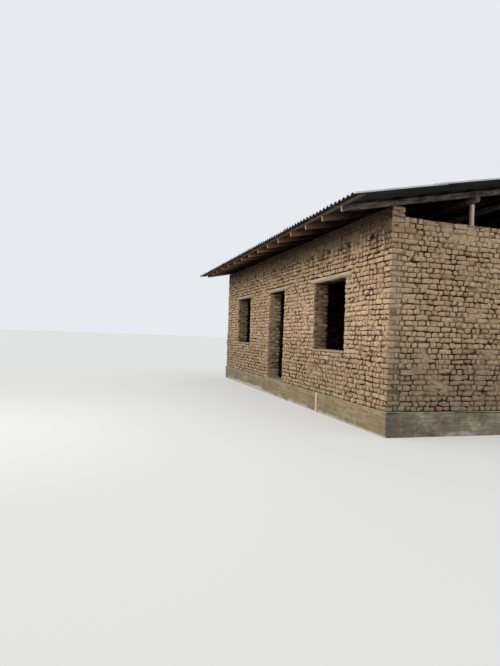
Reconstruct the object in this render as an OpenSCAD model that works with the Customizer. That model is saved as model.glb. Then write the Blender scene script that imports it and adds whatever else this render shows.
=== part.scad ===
// Single-storey adobe house on a concrete plinth, with a low gable roof of
// corrugated sheets. X runs along the house, the front faces -Y, the origin
// is on the ground at the middle of the plan. The right gable is at +X.

/* [House body] */
// Outside length of the adobe walls
house_l = 11690; // [10800:10:15000]
// Outside depth of the adobe walls
house_d = 6750; // [6000:10:8000]
// Thickness of the adobe walls, one and a half bricks
wall_t = 380; // [350:5:450]
// Height of one course of adobe bricks with its joint
course_h = 94.5; // [88:0.5:105]
// Courses from the plinth to the level top of the gable walls
wall_courses = 36; // [36:1:40]
// Courses from the plinth to the bed of the ceiling joists
joist_course = 33; // [31:1:33]

/* [Plinth and floor] */
// Height of the concrete plinth above the ground
plinth_h = 445; // [300:5:700]
// How far the plinth stands out past the adobe on each side
plinth_out = 20; // [5:1:60]
// Depth of the earth floor below the top of the plinth
floor_drop = 45; // [20:5:120]
// Distance of the formwork batten on the plinth from the right corner
batten_from_corner = 2890; // [400:10:9000]
// Width of the formwork batten
form_batten_w = 60; // [30:5:120]
// Thickness of the formwork batten
form_batten_t = 18; // [8:1:40]

/* [Openings] */
// Width of both windows
window_w = 1600; // [900:10:1800]
// Height of the window sills above the plinth
sill_h = 985; // [600:5:1300]
// Height of all opening heads above the plinth
head_h = 2510; // [2200:5:2550]
// Width of the doorway
door_w = 1280; // [800:10:1500]
// Wall between the right corner and the near window
right_pier = 1695; // [1000:5:2000]
// Wall between the near window and the doorway
middle_pier = 2015; // [1200:5:2400]
// Wall between the far window and the left corner
left_pier = 1530; // [1000:5:1900]
// Thickness of the mud bed that forms a window sill
sill_t = 40; // [20:5:80]
// How far a sill or the threshold stands out of the wall
sill_out = 12; // [4:1:40]
// Thickness of the lintel boards
lintel_t = 110; // [40:5:120]
// Bearing of a lintel beside its opening
lintel_bearing = 230; // [120:10:350]
// Thickness of the threshold slab in the doorway
threshold_t = 25; // [10:5:60]

/* [Ceiling joists] */
// Number of ceiling joists
joist_count = 12; // [9:1:15]
// Width of a ceiling joist
joist_w = 100; // [60:5:140]
// Height of a ceiling joist
joist_h = 150; // [100:5:200]
// Distance of the end joists from the outer face of the gable walls
joist_inset = 680; // [500:10:900]
// Wall left in front of a joist end
joist_cover = 60; // [30:5:120]
// Width of the hole left in front of a joist end
pocket_w = 140; // [60:5:200]
// Height of the hole left in front of a joist end
pocket_h = 90; // [40:5:95]

/* [Wall top] */
// Thickness of the upstand between the rafters, one brick
upstand_t = 250; // [200:5:260]
// Height of the upstand above the wall top
upstand_h = 200; // [150:5:320]
// Gap between the upstand and the wall plate
plate_gap = 15; // [5:1:30]
// How far the wall plates run on past the last rafters that they carry
plate_past = 15; // [0:5:60]

/* [Roof timbers] */
// Rise of the roof for each unit of run
roof_rise = 0.2; // [0.15:0.01:0.35]
// Number of rafters on each slope
rafter_count = 15; // [11:1:19]
// Thickness of a rafter
rafter_t = 50; // [35:1:70]
// Depth of a rafter, square to the slope
rafter_h = 100; // [80:5:150]
// Distance of the end rafters from the outer face of the gable walls
rafter_inset = 150; // [100:5:250]
// Length of the rafter tails out past the front and back walls
eave_out = 900; // [500:1:1200]
// Diameter of the log purlins and the ridge log
log_d = 130; // [100:5:180]
// Depth of the notch that seats a rafter on a log
log_notch = 10; // [5:1:20]
// Distance of the purlins from the outer face of the long walls
purlin_from_wall = 1800; // [1300:10:2200]
// How far the log ends stay inside the gable faces
log_setback = 50; // [0:5:90]
// Side of a squared roof post
post_w = 65; // [40:5:120]
// Distance of the gable posts from the outer face of the gable walls
post_inset = 200; // [160:5:260]

/* [Roof covering] */
// Width of a roof batten
batten_w = 100; // [60:5:150]
// Thickness of a roof batten
batten_t = 25; // [18:1:50]
// How far the battens run on past the end rafters
batten_past = 120; // [40:5:200]
// Length of one corrugated sheet
sheet_l = 1750; // [1400:10:2000]
// Overlap of one row of sheets over the next
sheet_lap = 200; // [120:10:300]
// Pitch of the corrugation
wave_p = 150; // [120:1:180]
// Depth of the corrugation
wave_h = 34; // [20:1:50]
// Thickness of the sheets, measured upright
sheet_t = 8; // [5:1:12]
// Overhang of the sheets past the rafter tails
sheet_out = 141; // [40:1:180]
// Overhang of the sheets past the gable faces
verge_out = 600; // [200:10:800]
// Distance between the eave batten ends and the sheet edge
eave_batten_short = 60; // [20:5:150]
// Length of one wing of the ridge cap
cap_wing = 210; // [150:5:300]
// Radius of the roll on the ridge cap
cap_roll = 42; // [25:1:60]

/* [Hidden] */

adobe_colour = "#b79a74";
concrete_colour = "#a39a8a";
timber_colour = "#9a7b5a";
board_colour = "#c2a67f";
sheet_colour = "#6f7274";
earth_colour = "#8b7355";

// Extra length of a cutting solid past the face it cuts
cut = 5;

half_l = house_l / 2;
half_d = house_d / 2;

// Heights of the walls
wall_top = plinth_h + wall_courses * course_h;
joist_z = plinth_h + joist_course * course_h;
upstand_top = wall_top + upstand_h;
sill_z = plinth_h + sill_h;
head_z = plinth_h + head_h;

// Left edges of the openings
near_window_x = half_l - right_pier - window_w;
door_x = near_window_x - middle_pier - door_w;
far_window_x = -half_l + left_pier;

// Places of the repeated timbers along the house
joist_gap = (house_l - 2 * joist_inset) / (joist_count - 1);
joist_xs = [for (i = [0 : joist_count - 1]) half_l - joist_inset - i * joist_gap];
rafter_gap = (house_l - 2 * rafter_inset) / (rafter_count - 1);
rafter_xs = [for (i = [0 : rafter_count - 1]) half_l - rafter_inset - i * rafter_gap];
// Posts stand on every second joist, counted from each gable
post_joist_step = 2;
post_joist_xs = [
    for (i = [post_joist_step : post_joist_step : joist_count / 2 - 1])
        each [joist_xs[i], -joist_xs[i]]
];
gable_post_xs = [half_l - post_inset, -half_l + post_inset];

// The roof planes start at the outer top edge of the upstands
slope = atan(roof_rise);
function rafter_z(y) = upstand_top + roof_rise * (half_d - abs(y));
function log_z(y) = rafter_z(y) - (log_d / 2 - log_notch) / cos(slope);
purlin_y = half_d - purlin_from_wall;
tail_y = half_d + eave_out;
rafter_len = tail_y / cos(slope);
plate_w = wall_t - upstand_t - plate_gap;
plate_y = half_d - wall_t;
plate_top = rafter_z(plate_y);
// The plates end inside the gable rafters, which rest on the upstands and logs
plate_half_l = half_l - rafter_inset - rafter_gap + rafter_t / 2 + plate_past;

// Battens and sheets, measured up the slope from the rafter tails
sheet_step = sheet_l - sheet_lap;
battens_per_sheet = 3;
batten_gap = sheet_step / battens_per_sheet;
batten_count = floor((rafter_len - batten_w) / batten_gap) + 1;
batten_half_l = half_l - rafter_inset + rafter_t / 2 + batten_past;
wave_count = round((house_l + 2 * verge_out) / wave_p);
roof_half_l = wave_count * wave_p / 2;
sheet_start = -sheet_out / cos(slope);
ridge_gap = 50;
sheet_end = rafter_len - ridge_gap;
// Play between a sheet and the row below, and the lift of its lower edge
lap_gap = 2;
lap_lift = sheet_t + lap_gap;
// Corners of one wave as shares of its pitch
wave_corners = [0.12, 0.38, 0.62, 0.88];

module plinth_side(length, width, x, y) {
    color(concrete_colour)
        translate([x, y, 0])
            cube([length, width, plinth_h]);
}

module front_plinth() {
    plinth_side(house_l + 2 * plinth_out, wall_t + 2 * plinth_out,
        -half_l - plinth_out, -half_d - plinth_out);
}

module back_plinth() {
    plinth_side(house_l + 2 * plinth_out, wall_t + 2 * plinth_out,
        -half_l - plinth_out, half_d - wall_t - plinth_out);
}

module gable_plinth(x) {
    plinth_side(wall_t + 2 * plinth_out, house_d - 2 * (wall_t + plinth_out),
        x, -half_d + wall_t + plinth_out);
}

module left_plinth() {
    gable_plinth(-half_l - plinth_out);
}

module right_plinth() {
    gable_plinth(half_l - wall_t - plinth_out);
}

// Upright board left on the face of the front plinth
module plinth_batten() {
    color(board_colour)
        translate([half_l - batten_from_corner - form_batten_w / 2, -half_d - plinth_out - form_batten_t, 0])
            cube([form_batten_w, form_batten_t, plinth_h]);
}

module earth_floor() {
    inset = wall_t + plinth_out;
    color(earth_colour)
        translate([-half_l + inset, -half_d + inset, 0])
            cube([house_l - 2 * inset, house_d - 2 * inset, plinth_h - floor_drop]);
}

module door_threshold() {
    color(concrete_colour)
        translate([door_x, -half_d - sill_out, plinth_h])
            cube([door_w, wall_t + sill_out, threshold_t]);
}

// Hole through the front wall, down to the underside of its sill
module opening(x, width, bottom) {
    translate([x, -half_d - cut, bottom])
        cube([width, wall_t + 2 * cut, head_z - bottom + cut]);
}

module lintel_solid(x, width) {
    translate([x - lintel_bearing, -half_d, head_z])
        cube([width + 2 * lintel_bearing, wall_t, lintel_t]);
}

module lintel_slot(x, width) {
    translate([x - lintel_bearing, -half_d - cut, head_z])
        cube([width + 2 * lintel_bearing, wall_t + 2 * cut, lintel_t]);
}

module front_wall() {
    color(adobe_colour)
        difference() {
            translate([-half_l, -half_d, plinth_h])
                cube([house_l, wall_t, joist_z - plinth_h]);
            opening(near_window_x, window_w, sill_z - sill_t);
            opening(far_window_x, window_w, sill_z - sill_t);
            opening(door_x, door_w, plinth_h - cut);
            lintel_slot(near_window_x, window_w);
            lintel_slot(far_window_x, window_w);
            lintel_slot(door_x, door_w);
        }
}

module back_wall() {
    color(adobe_colour)
        translate([-half_l, half_d - wall_t, plinth_h])
            cube([house_l, wall_t, joist_z - plinth_h]);
}

module gable_wall(x) {
    color(adobe_colour)
        translate([x, -half_d + wall_t, plinth_h])
            cube([wall_t, house_d - 2 * wall_t, wall_top - plinth_h]);
}

module left_gable_wall() {
    gable_wall(-half_l);
}

module right_gable_wall() {
    gable_wall(half_l - wall_t);
}

module near_window_lintel() {
    color(board_colour) lintel_solid(near_window_x, window_w);
}

module door_lintel() {
    color(board_colour) lintel_solid(door_x, door_w);
}

module far_window_lintel() {
    color(board_colour) lintel_solid(far_window_x, window_w);
}

module window_sill(x) {
    color(board_colour)
        translate([x, -half_d - sill_out, sill_z - sill_t])
            cube([window_w, wall_t + sill_out, sill_t]);
}

module near_window_sill() {
    window_sill(near_window_x);
}

module far_window_sill() {
    window_sill(far_window_x);
}

// Joists span from wall to wall and end inside both of them
module ceiling_joists() {
    reach = half_d - joist_cover;
    color(timber_colour)
        for (x = joist_xs)
            translate([x - joist_w / 2, -reach, joist_z])
                cube([joist_w, 2 * reach, joist_h]);
}

// Top courses of a long wall, with a pocket for every joist end
module front_wall_head() {
    color(adobe_colour)
        difference() {
            translate([-half_l, -half_d, joist_z])
                cube([house_l, wall_t, wall_top - joist_z]);
            for (x = joist_xs) {
                translate([x - joist_w / 2, -half_d + joist_cover, joist_z - cut])
                    cube([joist_w, wall_t - joist_cover + cut, joist_h + cut]);
                translate([x - pocket_w / 2, -half_d - cut, joist_z - cut])
                    cube([pocket_w, joist_cover + 2 * cut, pocket_h + cut]);
            }
        }
}

module back_wall_head() {
    mirror([0, 1, 0]) front_wall_head();
}

module front_upstand() {
    color(adobe_colour)
        translate([-half_l, -half_d, wall_top])
            cube([house_l, upstand_t, upstand_h]);
}

module back_upstand() {
    mirror([0, 1, 0]) front_upstand();
}

// Timber plate behind the upstand, its top at the rafter seats
module front_wall_plate() {
    color(timber_colour)
        translate([-plate_half_l, -plate_y - plate_w, wall_top])
            cube([2 * plate_half_l, plate_w, plate_top - wall_top]);
}

module back_wall_plate() {
    mirror([0, 1, 0]) front_wall_plate();
}

module log_solid(y, length) {
    translate([-length / 2, y, log_z(y)])
        rotate([0, 90, 0])
            cylinder(d = log_d, h = length, $fn = 48);
}

// Squared posts with a saddle that holds the log above
module post_line(y) {
    top = log_z(y);
    color(timber_colour)
        difference() {
            union() {
                for (x = gable_post_xs)
                    translate([x - post_w / 2, y - post_w / 2, wall_top])
                        cube([post_w, post_w, top - wall_top]);
                for (x = post_joist_xs)
                    translate([x - post_w / 2, y - post_w / 2, joist_z + joist_h])
                        cube([post_w, post_w, top - joist_z - joist_h]);
            }
            log_solid(y, house_l);
        }
}

module front_purlin_posts() {
    post_line(-purlin_y);
}

module ridge_posts() {
    post_line(0);
}

module back_purlin_posts() {
    post_line(purlin_y);
}

module front_purlin() {
    color(timber_colour) log_solid(-purlin_y, house_l - 2 * log_setback);
}

module ridge_log() {
    color(timber_colour) log_solid(0, house_l - 2 * log_setback);
}

module back_purlin() {
    color(timber_colour) log_solid(purlin_y, house_l - 2 * log_setback);
}

// Side view of a front rafter, notched over the logs and, inside the gables, over the plate
module rafter_outline(on_plate) {
    back = rafter_h * sin(slope);
    up = rafter_h * cos(slope);
    difference() {
        polygon([
            [-tail_y, rafter_z(tail_y)],
            [0, rafter_z(0)],
            [0, rafter_z(0) + rafter_h / cos(slope)],
            [-tail_y - back, rafter_z(tail_y) + up]
        ]);
        if (on_plate)
            translate([-plate_y - plate_w, wall_top])
                square([plate_w, plate_top - wall_top]);
        translate([-purlin_y, log_z(purlin_y)]) circle(d = log_d, $fn = 48);
        translate([0, log_z(0)]) circle(d = log_d, $fn = 48);
    }
}

module front_rafters() {
    color(timber_colour)
        for (i = [0 : rafter_count - 1])
            translate([rafter_xs[i] - rafter_t / 2, 0, 0])
                rotate([90, 0, 90])
                    linear_extrude(height = rafter_t)
                        rafter_outline(on_plate = i > 0 && i < rafter_count - 1);
}

module back_rafters() {
    mirror([0, 1, 0]) front_rafters();
}

// Frame of the front slope: +Y runs up the slope from the rafter tails and
// Z = 0 is the top face of the rafters
module on_front_slope() {
    translate([0, -tail_y - rafter_h * sin(slope), rafter_z(tail_y) + rafter_h * cos(slope)])
        rotate([slope, 0, 0])
            children();
}

module front_battens() {
    eave_half_l = roof_half_l - eave_batten_short;
    color(board_colour)
        on_front_slope()
            for (i = [0 : batten_count - 1]) {
                half = i == 0 ? eave_half_l : batten_half_l;
                translate([-half, i * batten_gap, 0])
                    cube([2 * half, batten_w, batten_t]);
            }
}

module back_battens() {
    mirror([0, 1, 0]) front_battens();
}

function wave_line(lift) = concat(
    [[-roof_half_l, lift]],
    [for (i = [0 : wave_count - 1])
        for (k = [0 : 3])
            [-roof_half_l + (i + wave_corners[k]) * wave_p, lift + (k == 1 || k == 2 ? wave_h : 0)]],
    [[roof_half_l, lift]]
);

function reversed(list) = [for (i = [len(list) - 1 : -1 : 0]) list[i]];

// One row of corrugated sheets from its lower edge to its upper edge, the
// lower edge lifted onto the row below
module sheet_row(lower, upper, lift) {
    length = upper - lower;
    color(sheet_colour)
        on_front_slope()
            translate([0, upper, batten_t])
                rotate([90 - asin(lift / length), 0, 0])
                    linear_extrude(height = length)
                        polygon(concat(wave_line(0), reversed(wave_line(sheet_t))));
}

module front_roof_lower() {
    sheet_row(sheet_start, sheet_start + sheet_l, 0);
}

module front_roof_middle() {
    sheet_row(sheet_start + sheet_step, sheet_start + sheet_step + sheet_l, lap_lift);
}

module front_roof_upper() {
    sheet_row(sheet_start + 2 * sheet_step, sheet_end, lap_lift);
}

module back_roof_lower() {
    mirror([0, 1, 0]) front_roof_lower();
}

module back_roof_middle() {
    mirror([0, 1, 0]) front_roof_middle();
}

module back_roof_upper() {
    mirror([0, 1, 0]) front_roof_upper();
}

// Folded cap over the ridge with a roll along its fold
module ridge_cap() {
    rise = batten_t + wave_h + sheet_t + lap_lift;
    apex = rafter_z(0) + (rafter_h + rise) / cos(slope);
    run = cap_wing * cos(slope);
    drop = cap_wing * sin(slope);
    color(sheet_colour)
        translate([-roof_half_l, 0, 0])
            rotate([90, 0, 90])
                linear_extrude(height = 2 * roof_half_l)
                    union() {
                        polygon([
                            [-run, apex - drop], [0, apex], [run, apex - drop],
                            [run, apex - drop + sheet_t], [0, apex + sheet_t], [-run, apex - drop + sheet_t]
                        ]);
                        translate([0, apex]) circle(r = cap_roll, $fn = 32);
                    }
}

front_plinth();
back_plinth();
left_plinth();
right_plinth();
plinth_batten();
earth_floor();
door_threshold();
front_wall();
back_wall();
left_gable_wall();
right_gable_wall();
near_window_lintel();
door_lintel();
far_window_lintel();
near_window_sill();
far_window_sill();
ceiling_joists();
front_wall_head();
back_wall_head();
front_upstand();
back_upstand();
front_wall_plate();
back_wall_plate();
front_purlin_posts();
ridge_posts();
back_purlin_posts();
front_purlin();
ridge_log();
back_purlin();
front_rafters();
back_rafters();
front_battens();
back_battens();
front_roof_lower();
front_roof_middle();
front_roof_upper();
back_roof_lower();
back_roof_middle();
back_roof_upper();
ridge_cap();
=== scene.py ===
"""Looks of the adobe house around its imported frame: bricks, mud, timber, sheets and plinth."""

import math

import bpy
import numpy as np
from mathutils import Matrix, Vector


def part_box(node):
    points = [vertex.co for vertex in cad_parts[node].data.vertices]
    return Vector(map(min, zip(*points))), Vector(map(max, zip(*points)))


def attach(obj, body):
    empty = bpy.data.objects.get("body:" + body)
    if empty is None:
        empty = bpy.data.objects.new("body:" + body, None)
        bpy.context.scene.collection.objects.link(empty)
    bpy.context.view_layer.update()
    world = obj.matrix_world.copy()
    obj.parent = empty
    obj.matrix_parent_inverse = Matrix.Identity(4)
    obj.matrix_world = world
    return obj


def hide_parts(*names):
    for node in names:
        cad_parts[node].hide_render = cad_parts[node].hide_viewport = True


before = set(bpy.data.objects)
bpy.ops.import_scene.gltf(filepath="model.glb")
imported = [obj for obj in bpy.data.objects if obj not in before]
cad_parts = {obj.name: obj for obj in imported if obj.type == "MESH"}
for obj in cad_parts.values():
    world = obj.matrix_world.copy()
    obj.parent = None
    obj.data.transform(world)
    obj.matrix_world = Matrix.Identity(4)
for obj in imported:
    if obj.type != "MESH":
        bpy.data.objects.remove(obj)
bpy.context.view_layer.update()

# Sizes of the adobe bricks, in metres, and the shortest and longest closer
BRICK_L, BRICK_W, JOINT = 0.25, 0.12, 0.01
CLOSERS = 0.06, 0.1
# Share of halved stretchers on the gables and on the long walls
HALVED = 0.46, 0.66
COURSES, UPSTAND_COURSES = 36, 3
SILL_COURSE, HEAD_COURSE, JOIST_COURSE = 10, 26, 33
# Least and largest radius of a brick's edges
ROUND = 0.003, 0.009
FACE_DEPTH = 0.045
# Least room for a brick and for a closer, length of the shortest brick that is halved, and longest brick
BRICK_ROOM, CLOSER_ROOM, HALVED_L, LONGEST_L = 0.045, 0.3, 0.19, 0.27
# How much darker than its middle a brick is along its edges
EDGE_DARKENING = 0.16
MUD_DEPTH = 0.022
# Size of the mud's cells on the back and left walls, and on the front and right ones
MUD_CELLS = 0.075, 0.055
# How far the mud lies behind the bricks in the reveals and on the gable side of a corner
REVEAL_MUD, CORNER_MUD = 0.013, 0.02
# The courses over the openings, whose beds are more open
OPEN_LOW, OPEN_HIGH = 3.05, 3.45

# Places read from the frame
wall_low, wall_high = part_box("front_wall")
HALF_L, HALF_D = wall_high.x, -wall_low.y
WALL_T = wall_high.y - wall_low.y
PLINTH_TOP, JOIST_Z = wall_low.z, wall_high.z
WALL_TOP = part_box("front_wall_head")[1].z
UPSTAND_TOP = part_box("front_upstand")[1].z
UPSTAND_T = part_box("front_upstand")[1].y + HALF_D
COURSE = (WALL_TOP - PLINTH_TOP) / COURSES
lintel_low, lintel_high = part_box("door_lintel")
HEAD_Z, LINTEL_TOP, DOOR_X = lintel_low.z, lintel_high.z, (lintel_low.x + lintel_high.x) / 2
LINTEL_BEARING = 0.23
# Holes in front of the joist ends, and the wall left before them
POCKET_W, POCKET_H, JOIST_COVER = 0.14, 0.09, 0.06

# The roof planes
RISE = 0.2
SLOPE = math.atan(RISE)
BATTEN_T = 0.025
WAVE, WAVE_H, SHEET_T = 0.15, 0.034, 0.008
SHEET_L, SHEET_LAP, SHEET_WAVES = 1.75, 0.2, 8
# How far the sheets run out past the rafter tails, and end before the ridge
SHEET_OUT, RIDGE_GAP = 0.141, 0.05
# The ridge cap's pieces, their lap, the radius of their roll and their thickness
CAPS, CAP_LAP, CAP_ROLL, CAP_T = 12, 0.1, 0.042, 0.006

# Height of one formwork board of the plinth, and how far the gable plinths reach into the long ones
FORM_BOARD, PLINTH_TUCK = 0.152, 0.03

# Heights between which the mud wash and painted shade under the eaves begin
EAVE_BAND = 3.3, 3.66
# How much darker the painted shade makes the window reveals than the doorway's
WINDOW_SHADE = 0.27
# Place and reach of the fresh break in a brick of the gable, and its colours
BREAK_AT, BREAK_REACH = (HALF_L, -1.27, 3.735), 0.11
BREAK_COLOURS = (0.4, (0.2, 0.095, 0.05)), (0.5, (0.7, 0.44, 0.28)), (0.6, (0.92, 0.76, 0.6))
# How close a wood's rings lie and its lightness indoors under painted shade, where it has none of its own
RINGS, INDOORS = 150, 0.3
# Light, dark and grey colour of each wood and its share of grey, then its own rings and its lightness indoors
# under painted shade
WOODS = {
    "rafter": ((0.385, 0.2, 0.104), (0.205, 0.098, 0.05), (0.16, 0.118, 0.092), 0.45),
    # The roof boards are painted dark as painted shade between the rafters, under the sheets
    "board": ((0.11, 0.066, 0.044), (0.06, 0.034, 0.023), (0.055, 0.045, 0.04), 0.6),
    "post": ((0.9, 0.71, 0.51), (0.69, 0.52, 0.35), (0.76, 0.625, 0.48), 0.5),
    "lintel": ((0.6, 0.44, 0.295), (0.4, 0.275, 0.17), (0.46, 0.365, 0.27), 0.6),
    "log": ((0.33, 0.23, 0.15), (0.2, 0.125, 0.075), (0.23, 0.195, 0.165), 0.6, 260, INDOORS),
    "ridge": ((0.42, 0.335, 0.28), (0.27, 0.205, 0.165), (0.33, 0.3, 0.285), 0.7, 260, 1),
}


def smooth(value, low, high):
    """0 below low, 1 above high and a soft step between."""
    t = np.clip((value - low) / (high - low), 0, 1)
    return t * t * (3 - 2 * t)


def hashed(cell, seed):
    """A repeatable random number from -1 to 1 for each whole-number cell."""
    c = cell.astype(np.int64).astype(np.uint64)
    h = c[..., 0] * np.uint64(73856093) ^ c[..., 1] * np.uint64(19349663)
    h = h ^ c[..., 2] * np.uint64(83492791) ^ np.uint64(seed * 7919 + 17)
    h = (h ^ (h >> np.uint64(15))) * np.uint64(2246822519)
    h = (h ^ (h >> np.uint64(13))) * np.uint64(3266489917)
    h = h ^ (h >> np.uint64(16))
    return (h & np.uint64(0xFFFF)).astype(float) / 0x7FFF - 1


def noise(points, size, seed=0):
    """Smooth noise from -1 to 1, with one bump for each size, a number or three of them."""
    p = np.asarray(points, float) / np.asarray(size, float)
    cell = np.floor(p)
    t = p - cell
    t = t * t * (3 - 2 * t)
    total = np.zeros(p.shape[:-1])
    for corner in np.ndindex(2, 2, 2):
        weight = np.prod(np.where(np.array(corner) == 1, t, 1 - t), axis=-1)
        total += weight * hashed(cell + corner, seed)
    return total


def wobble(points, size, amount, seed=0, grain=None):
    """Points moved by smooth noise, of their places or of their grain, up to amount each way."""
    at = points if grain is None else grain
    return points + amount * np.stack([noise(at, size, seed + axis) for axis in range(3)], axis=-1)


class Pile:
    """Small meshes gathered into one piece, with a tone and a grain place at each vertex."""

    def __init__(self, name):
        self.name = name
        self.rng = np.random.default_rng(list(name.encode()))
        self.verts, self.faces, self.tones, self.grains = [], [], [], []
        self.count = 0

    def add(self, verts, faces, tone=0.5, grain=None):
        verts = np.asarray(verts, float).reshape(-1, 3)
        self.verts.append(verts)
        self.tones.append(np.broadcast_to(np.asarray(tone, float).ravel(), (len(verts),)))
        self.grains.append(verts if grain is None else grain.reshape(-1, 3))
        for group in faces if isinstance(faces, list) else [faces]:
            self.faces.append(group + self.count)
        self.count += len(verts)

    def make(self, kind, material, nodes, slot, sharp=None):
        """One object from all that was added, riding on the root and standing for the nodes."""
        name = self.name + kind
        mesh = bpy.data.meshes.new(name)
        mesh.vertices.add(self.count)
        mesh.vertices.foreach_set("co", np.concatenate(self.verts).astype(np.float32).ravel())
        corners = np.concatenate([group.ravel() for group in self.faces]).astype(np.int32)
        sizes = np.concatenate([np.full(len(group), group.shape[1]) for group in self.faces])
        mesh.loops.add(len(corners))
        mesh.loops.foreach_set("vertex_index", corners)
        mesh.polygons.add(len(sizes))
        starts = np.concatenate([[0], np.cumsum(sizes)[:-1]]).astype(np.int32)
        mesh.polygons.foreach_set("loop_start", starts)
        mesh.polygons.foreach_set("use_smooth", np.ones(len(sizes), bool))
        mesh.update(calc_edges=True)
        tone = mesh.attributes.new("tone", "FLOAT", "POINT")
        tone.data.foreach_set("value", np.concatenate(self.tones).astype(np.float32))
        grain = mesh.attributes.new("grain", "FLOAT_VECTOR", "POINT")
        grain.data.foreach_set("vector", np.concatenate(self.grains).astype(np.float32).ravel())
        if sharp is not None:
            mesh.set_sharp_from_angle(angle=math.radians(sharp))
        mesh.materials.append(material)
        piece = linked(mesh)
        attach(piece, "root")
        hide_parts(*nodes)


def linked(thing):
    """The thing as an object of the scene."""
    made = bpy.data.objects.new(thing.name, thing)
    bpy.context.scene.collection.objects.link(made)
    return made


def dress(node, shape, kind, material, slot, *extra, name=None, sharp=40):
    """Makes the piece of a CAD node, from the meshes that shape adds to its pile."""
    pile = Pile(name or node.rstrip("s"))
    shape(pile, node, *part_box(node), *extra)
    pile.make(kind, material, [node], slot, sharp)


def unravel(ids, steps):
    """Whole-number places of ids that count up along x first, then y and z."""
    return ids % steps[0], ids // steps[0] % steps[1], ids // (steps[0] * steps[1])


def lattice(cells):
    """The skin of a box cut into cells: whole-number points, and quads that face out."""
    steps = np.array(cells) + 1
    quads = []
    for axis in range(3):
        a, b = (axis + 1) % 3, (axis + 2) % 3
        ia, ib = np.meshgrid(np.arange(cells[a]), np.arange(cells[b]), indexing="ij")
        for side in (0, cells[axis]):
            ring = []
            for da, db in ((0, 0), (1, 0), (1, 1), (0, 1)):
                point = [side, side, side]
                point[a], point[b] = ia + da, ib + db
                ring.append((point[0] + steps[0] * (point[1] + steps[1] * point[2])).ravel())
            quad = np.stack(ring, axis=1)
            quads.append(quad if side else quad[:, ::-1])
    used, quads = np.unique(np.concatenate(quads), return_inverse=True)
    return np.stack(unravel(used, steps), 1), quads.reshape(-1, 4)


def cells_of(size, cell):
    """How many cells of about that size go along each side of a box, at least four."""
    return tuple(max(4, round(length / cell)) for length in size)


def rounded_box(size, radius, cells):
    """A box around the origin with rounded edges; cells are at least three each way."""
    points, quads = lattice(cells)
    half = np.array(size, float) / 2
    coords = np.empty(points.shape)
    for axis, count in enumerate(cells):
        inside = np.linspace(radius - half[axis], half[axis] - radius, count - 1)
        stops = np.concatenate([[-half[axis]], inside, [half[axis]]])
        coords[:, axis] = stops[points[:, axis]]
    inner = np.clip(coords, radius - half, half - radius)
    out = coords - inner
    return inner + radius * out / np.linalg.norm(out, axis=1, keepdims=True), quads


def masked_slab(lines, mask, low, high):
    """A closed slab over the cells of a grid that mask keeps, from height low to height high."""
    steps = [len(line) for line in lines]
    i, j = np.nonzero(mask)

    def quad(i, j, *corners):
        ids = [i + u + steps[0] * (j + v + steps[1] * layer) for u, v, layer in corners]
        return np.stack(ids, axis=1)

    quads = [
        quad(i, j, (0, 0, 1), (1, 0, 1), (1, 1, 1), (0, 1, 1)),
        quad(i, j, (0, 0, 0), (0, 1, 0), (1, 1, 0), (1, 0, 0)),
    ]
    padded = np.pad(mask, 1)
    for du, dv, a, b in (
        (-1, 0, (0, 0), (0, 1)),
        (1, 0, (1, 1), (1, 0)),
        (0, -1, (1, 0), (0, 0)),
        (0, 1, (0, 1), (1, 1)),
    ):
        edge = ~padded[i + 1 + du, j + 1 + dv]
        quads.append(quad(i[edge], j[edge], (*a, 0), (*a, 1), (*b, 1), (*b, 0)))
    used, faces = np.unique(np.concatenate(quads), return_inverse=True)
    u, v, layer = unravel(used, steps)
    return np.stack([lines[0][u], lines[1][v], np.array([low, high])[layer]], 1), faces.reshape(-1, 4)


def grid_lines(stops, cell):
    """Lines through every stop, with the spaces between cut to about the cell size."""
    stops = sorted(set(stops))
    counts = [max(1, round((b - a) / cell)) for a, b in zip(stops, stops[1:])]
    parts = [np.linspace(a, b, count + 1)[:-1] for a, b, count in zip(stops, stops[1:], counts)]
    return np.concatenate([*parts, [stops[-1]]])


def spans_along_x(node):
    """The stretches that the separate solids of a CAD node take up along X."""
    xs = np.unique([round(v.co.x, 4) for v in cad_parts[node].data.vertices])
    return list(zip(xs[0::2], xs[1::2]))


def middles_along_x(node):
    return [(x0 + x1) / 2 for x0, x1 in spans_along_x(node)]


# Adobe bricks and mud


class Side:
    """A wall face: s runs to the right as seen, z runs up and d stands out of it."""

    def __init__(self, x, y, along_x, along_y, stretcher_parity):
        self.length, self.parity = 2 * abs(x * along_x + y * along_y), stretcher_parity
        self.start = np.array([x, y, 0.0])
        self.along = np.array([along_x, along_y, 0.0])
        self.out = np.array([along_y, -along_x, 0.0])

    def place(self, points):
        """World places of points given as s, z and d, settled as an old wall is."""
        world = self.start + points[..., :1] * self.along + points[..., 2:] * self.out
        world[..., 2] += points[..., 1]
        return settled(world)

    def quoin(self, course):
        """Length along this face of the bricks of a course, as at its corner or at a jamb."""
        return BRICK_L if course % 2 == self.parity else BRICK_W


def settled(points):
    """The slight waves of hand-laid courses and faces, none at the plinth."""
    fade = smooth(points[..., 2], PLINTH_TOP, PLINTH_TOP + 0.5)[..., None]
    x, y, z = points[..., 0], points[..., 1], points[..., 2]
    rise = 0.005 * np.sin(1.1 * x + 1.4 * y + 1.9 * z) + 0.003 * np.sin(3.1 * x - 2.3 * y + 4.0 * z)
    rise = rise + 0.01 * noise(points, (0.42, 0.42, 0.13), 7)
    lean = 0.004 * np.sin(0.9 * x + 0.8 * y + 2.3 * z + 1.0)
    move = np.stack([lean * np.sign(x) * 0.6, lean * np.sign(y), rise], axis=-1)
    return points + fade * move


def course_z(course):
    """Lower and upper edge of the bricks in a course."""
    return PLINTH_TOP + course * COURSE + JOINT / 2, PLINTH_TOP + (course + 1) * COURSE - JOINT / 2


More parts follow.
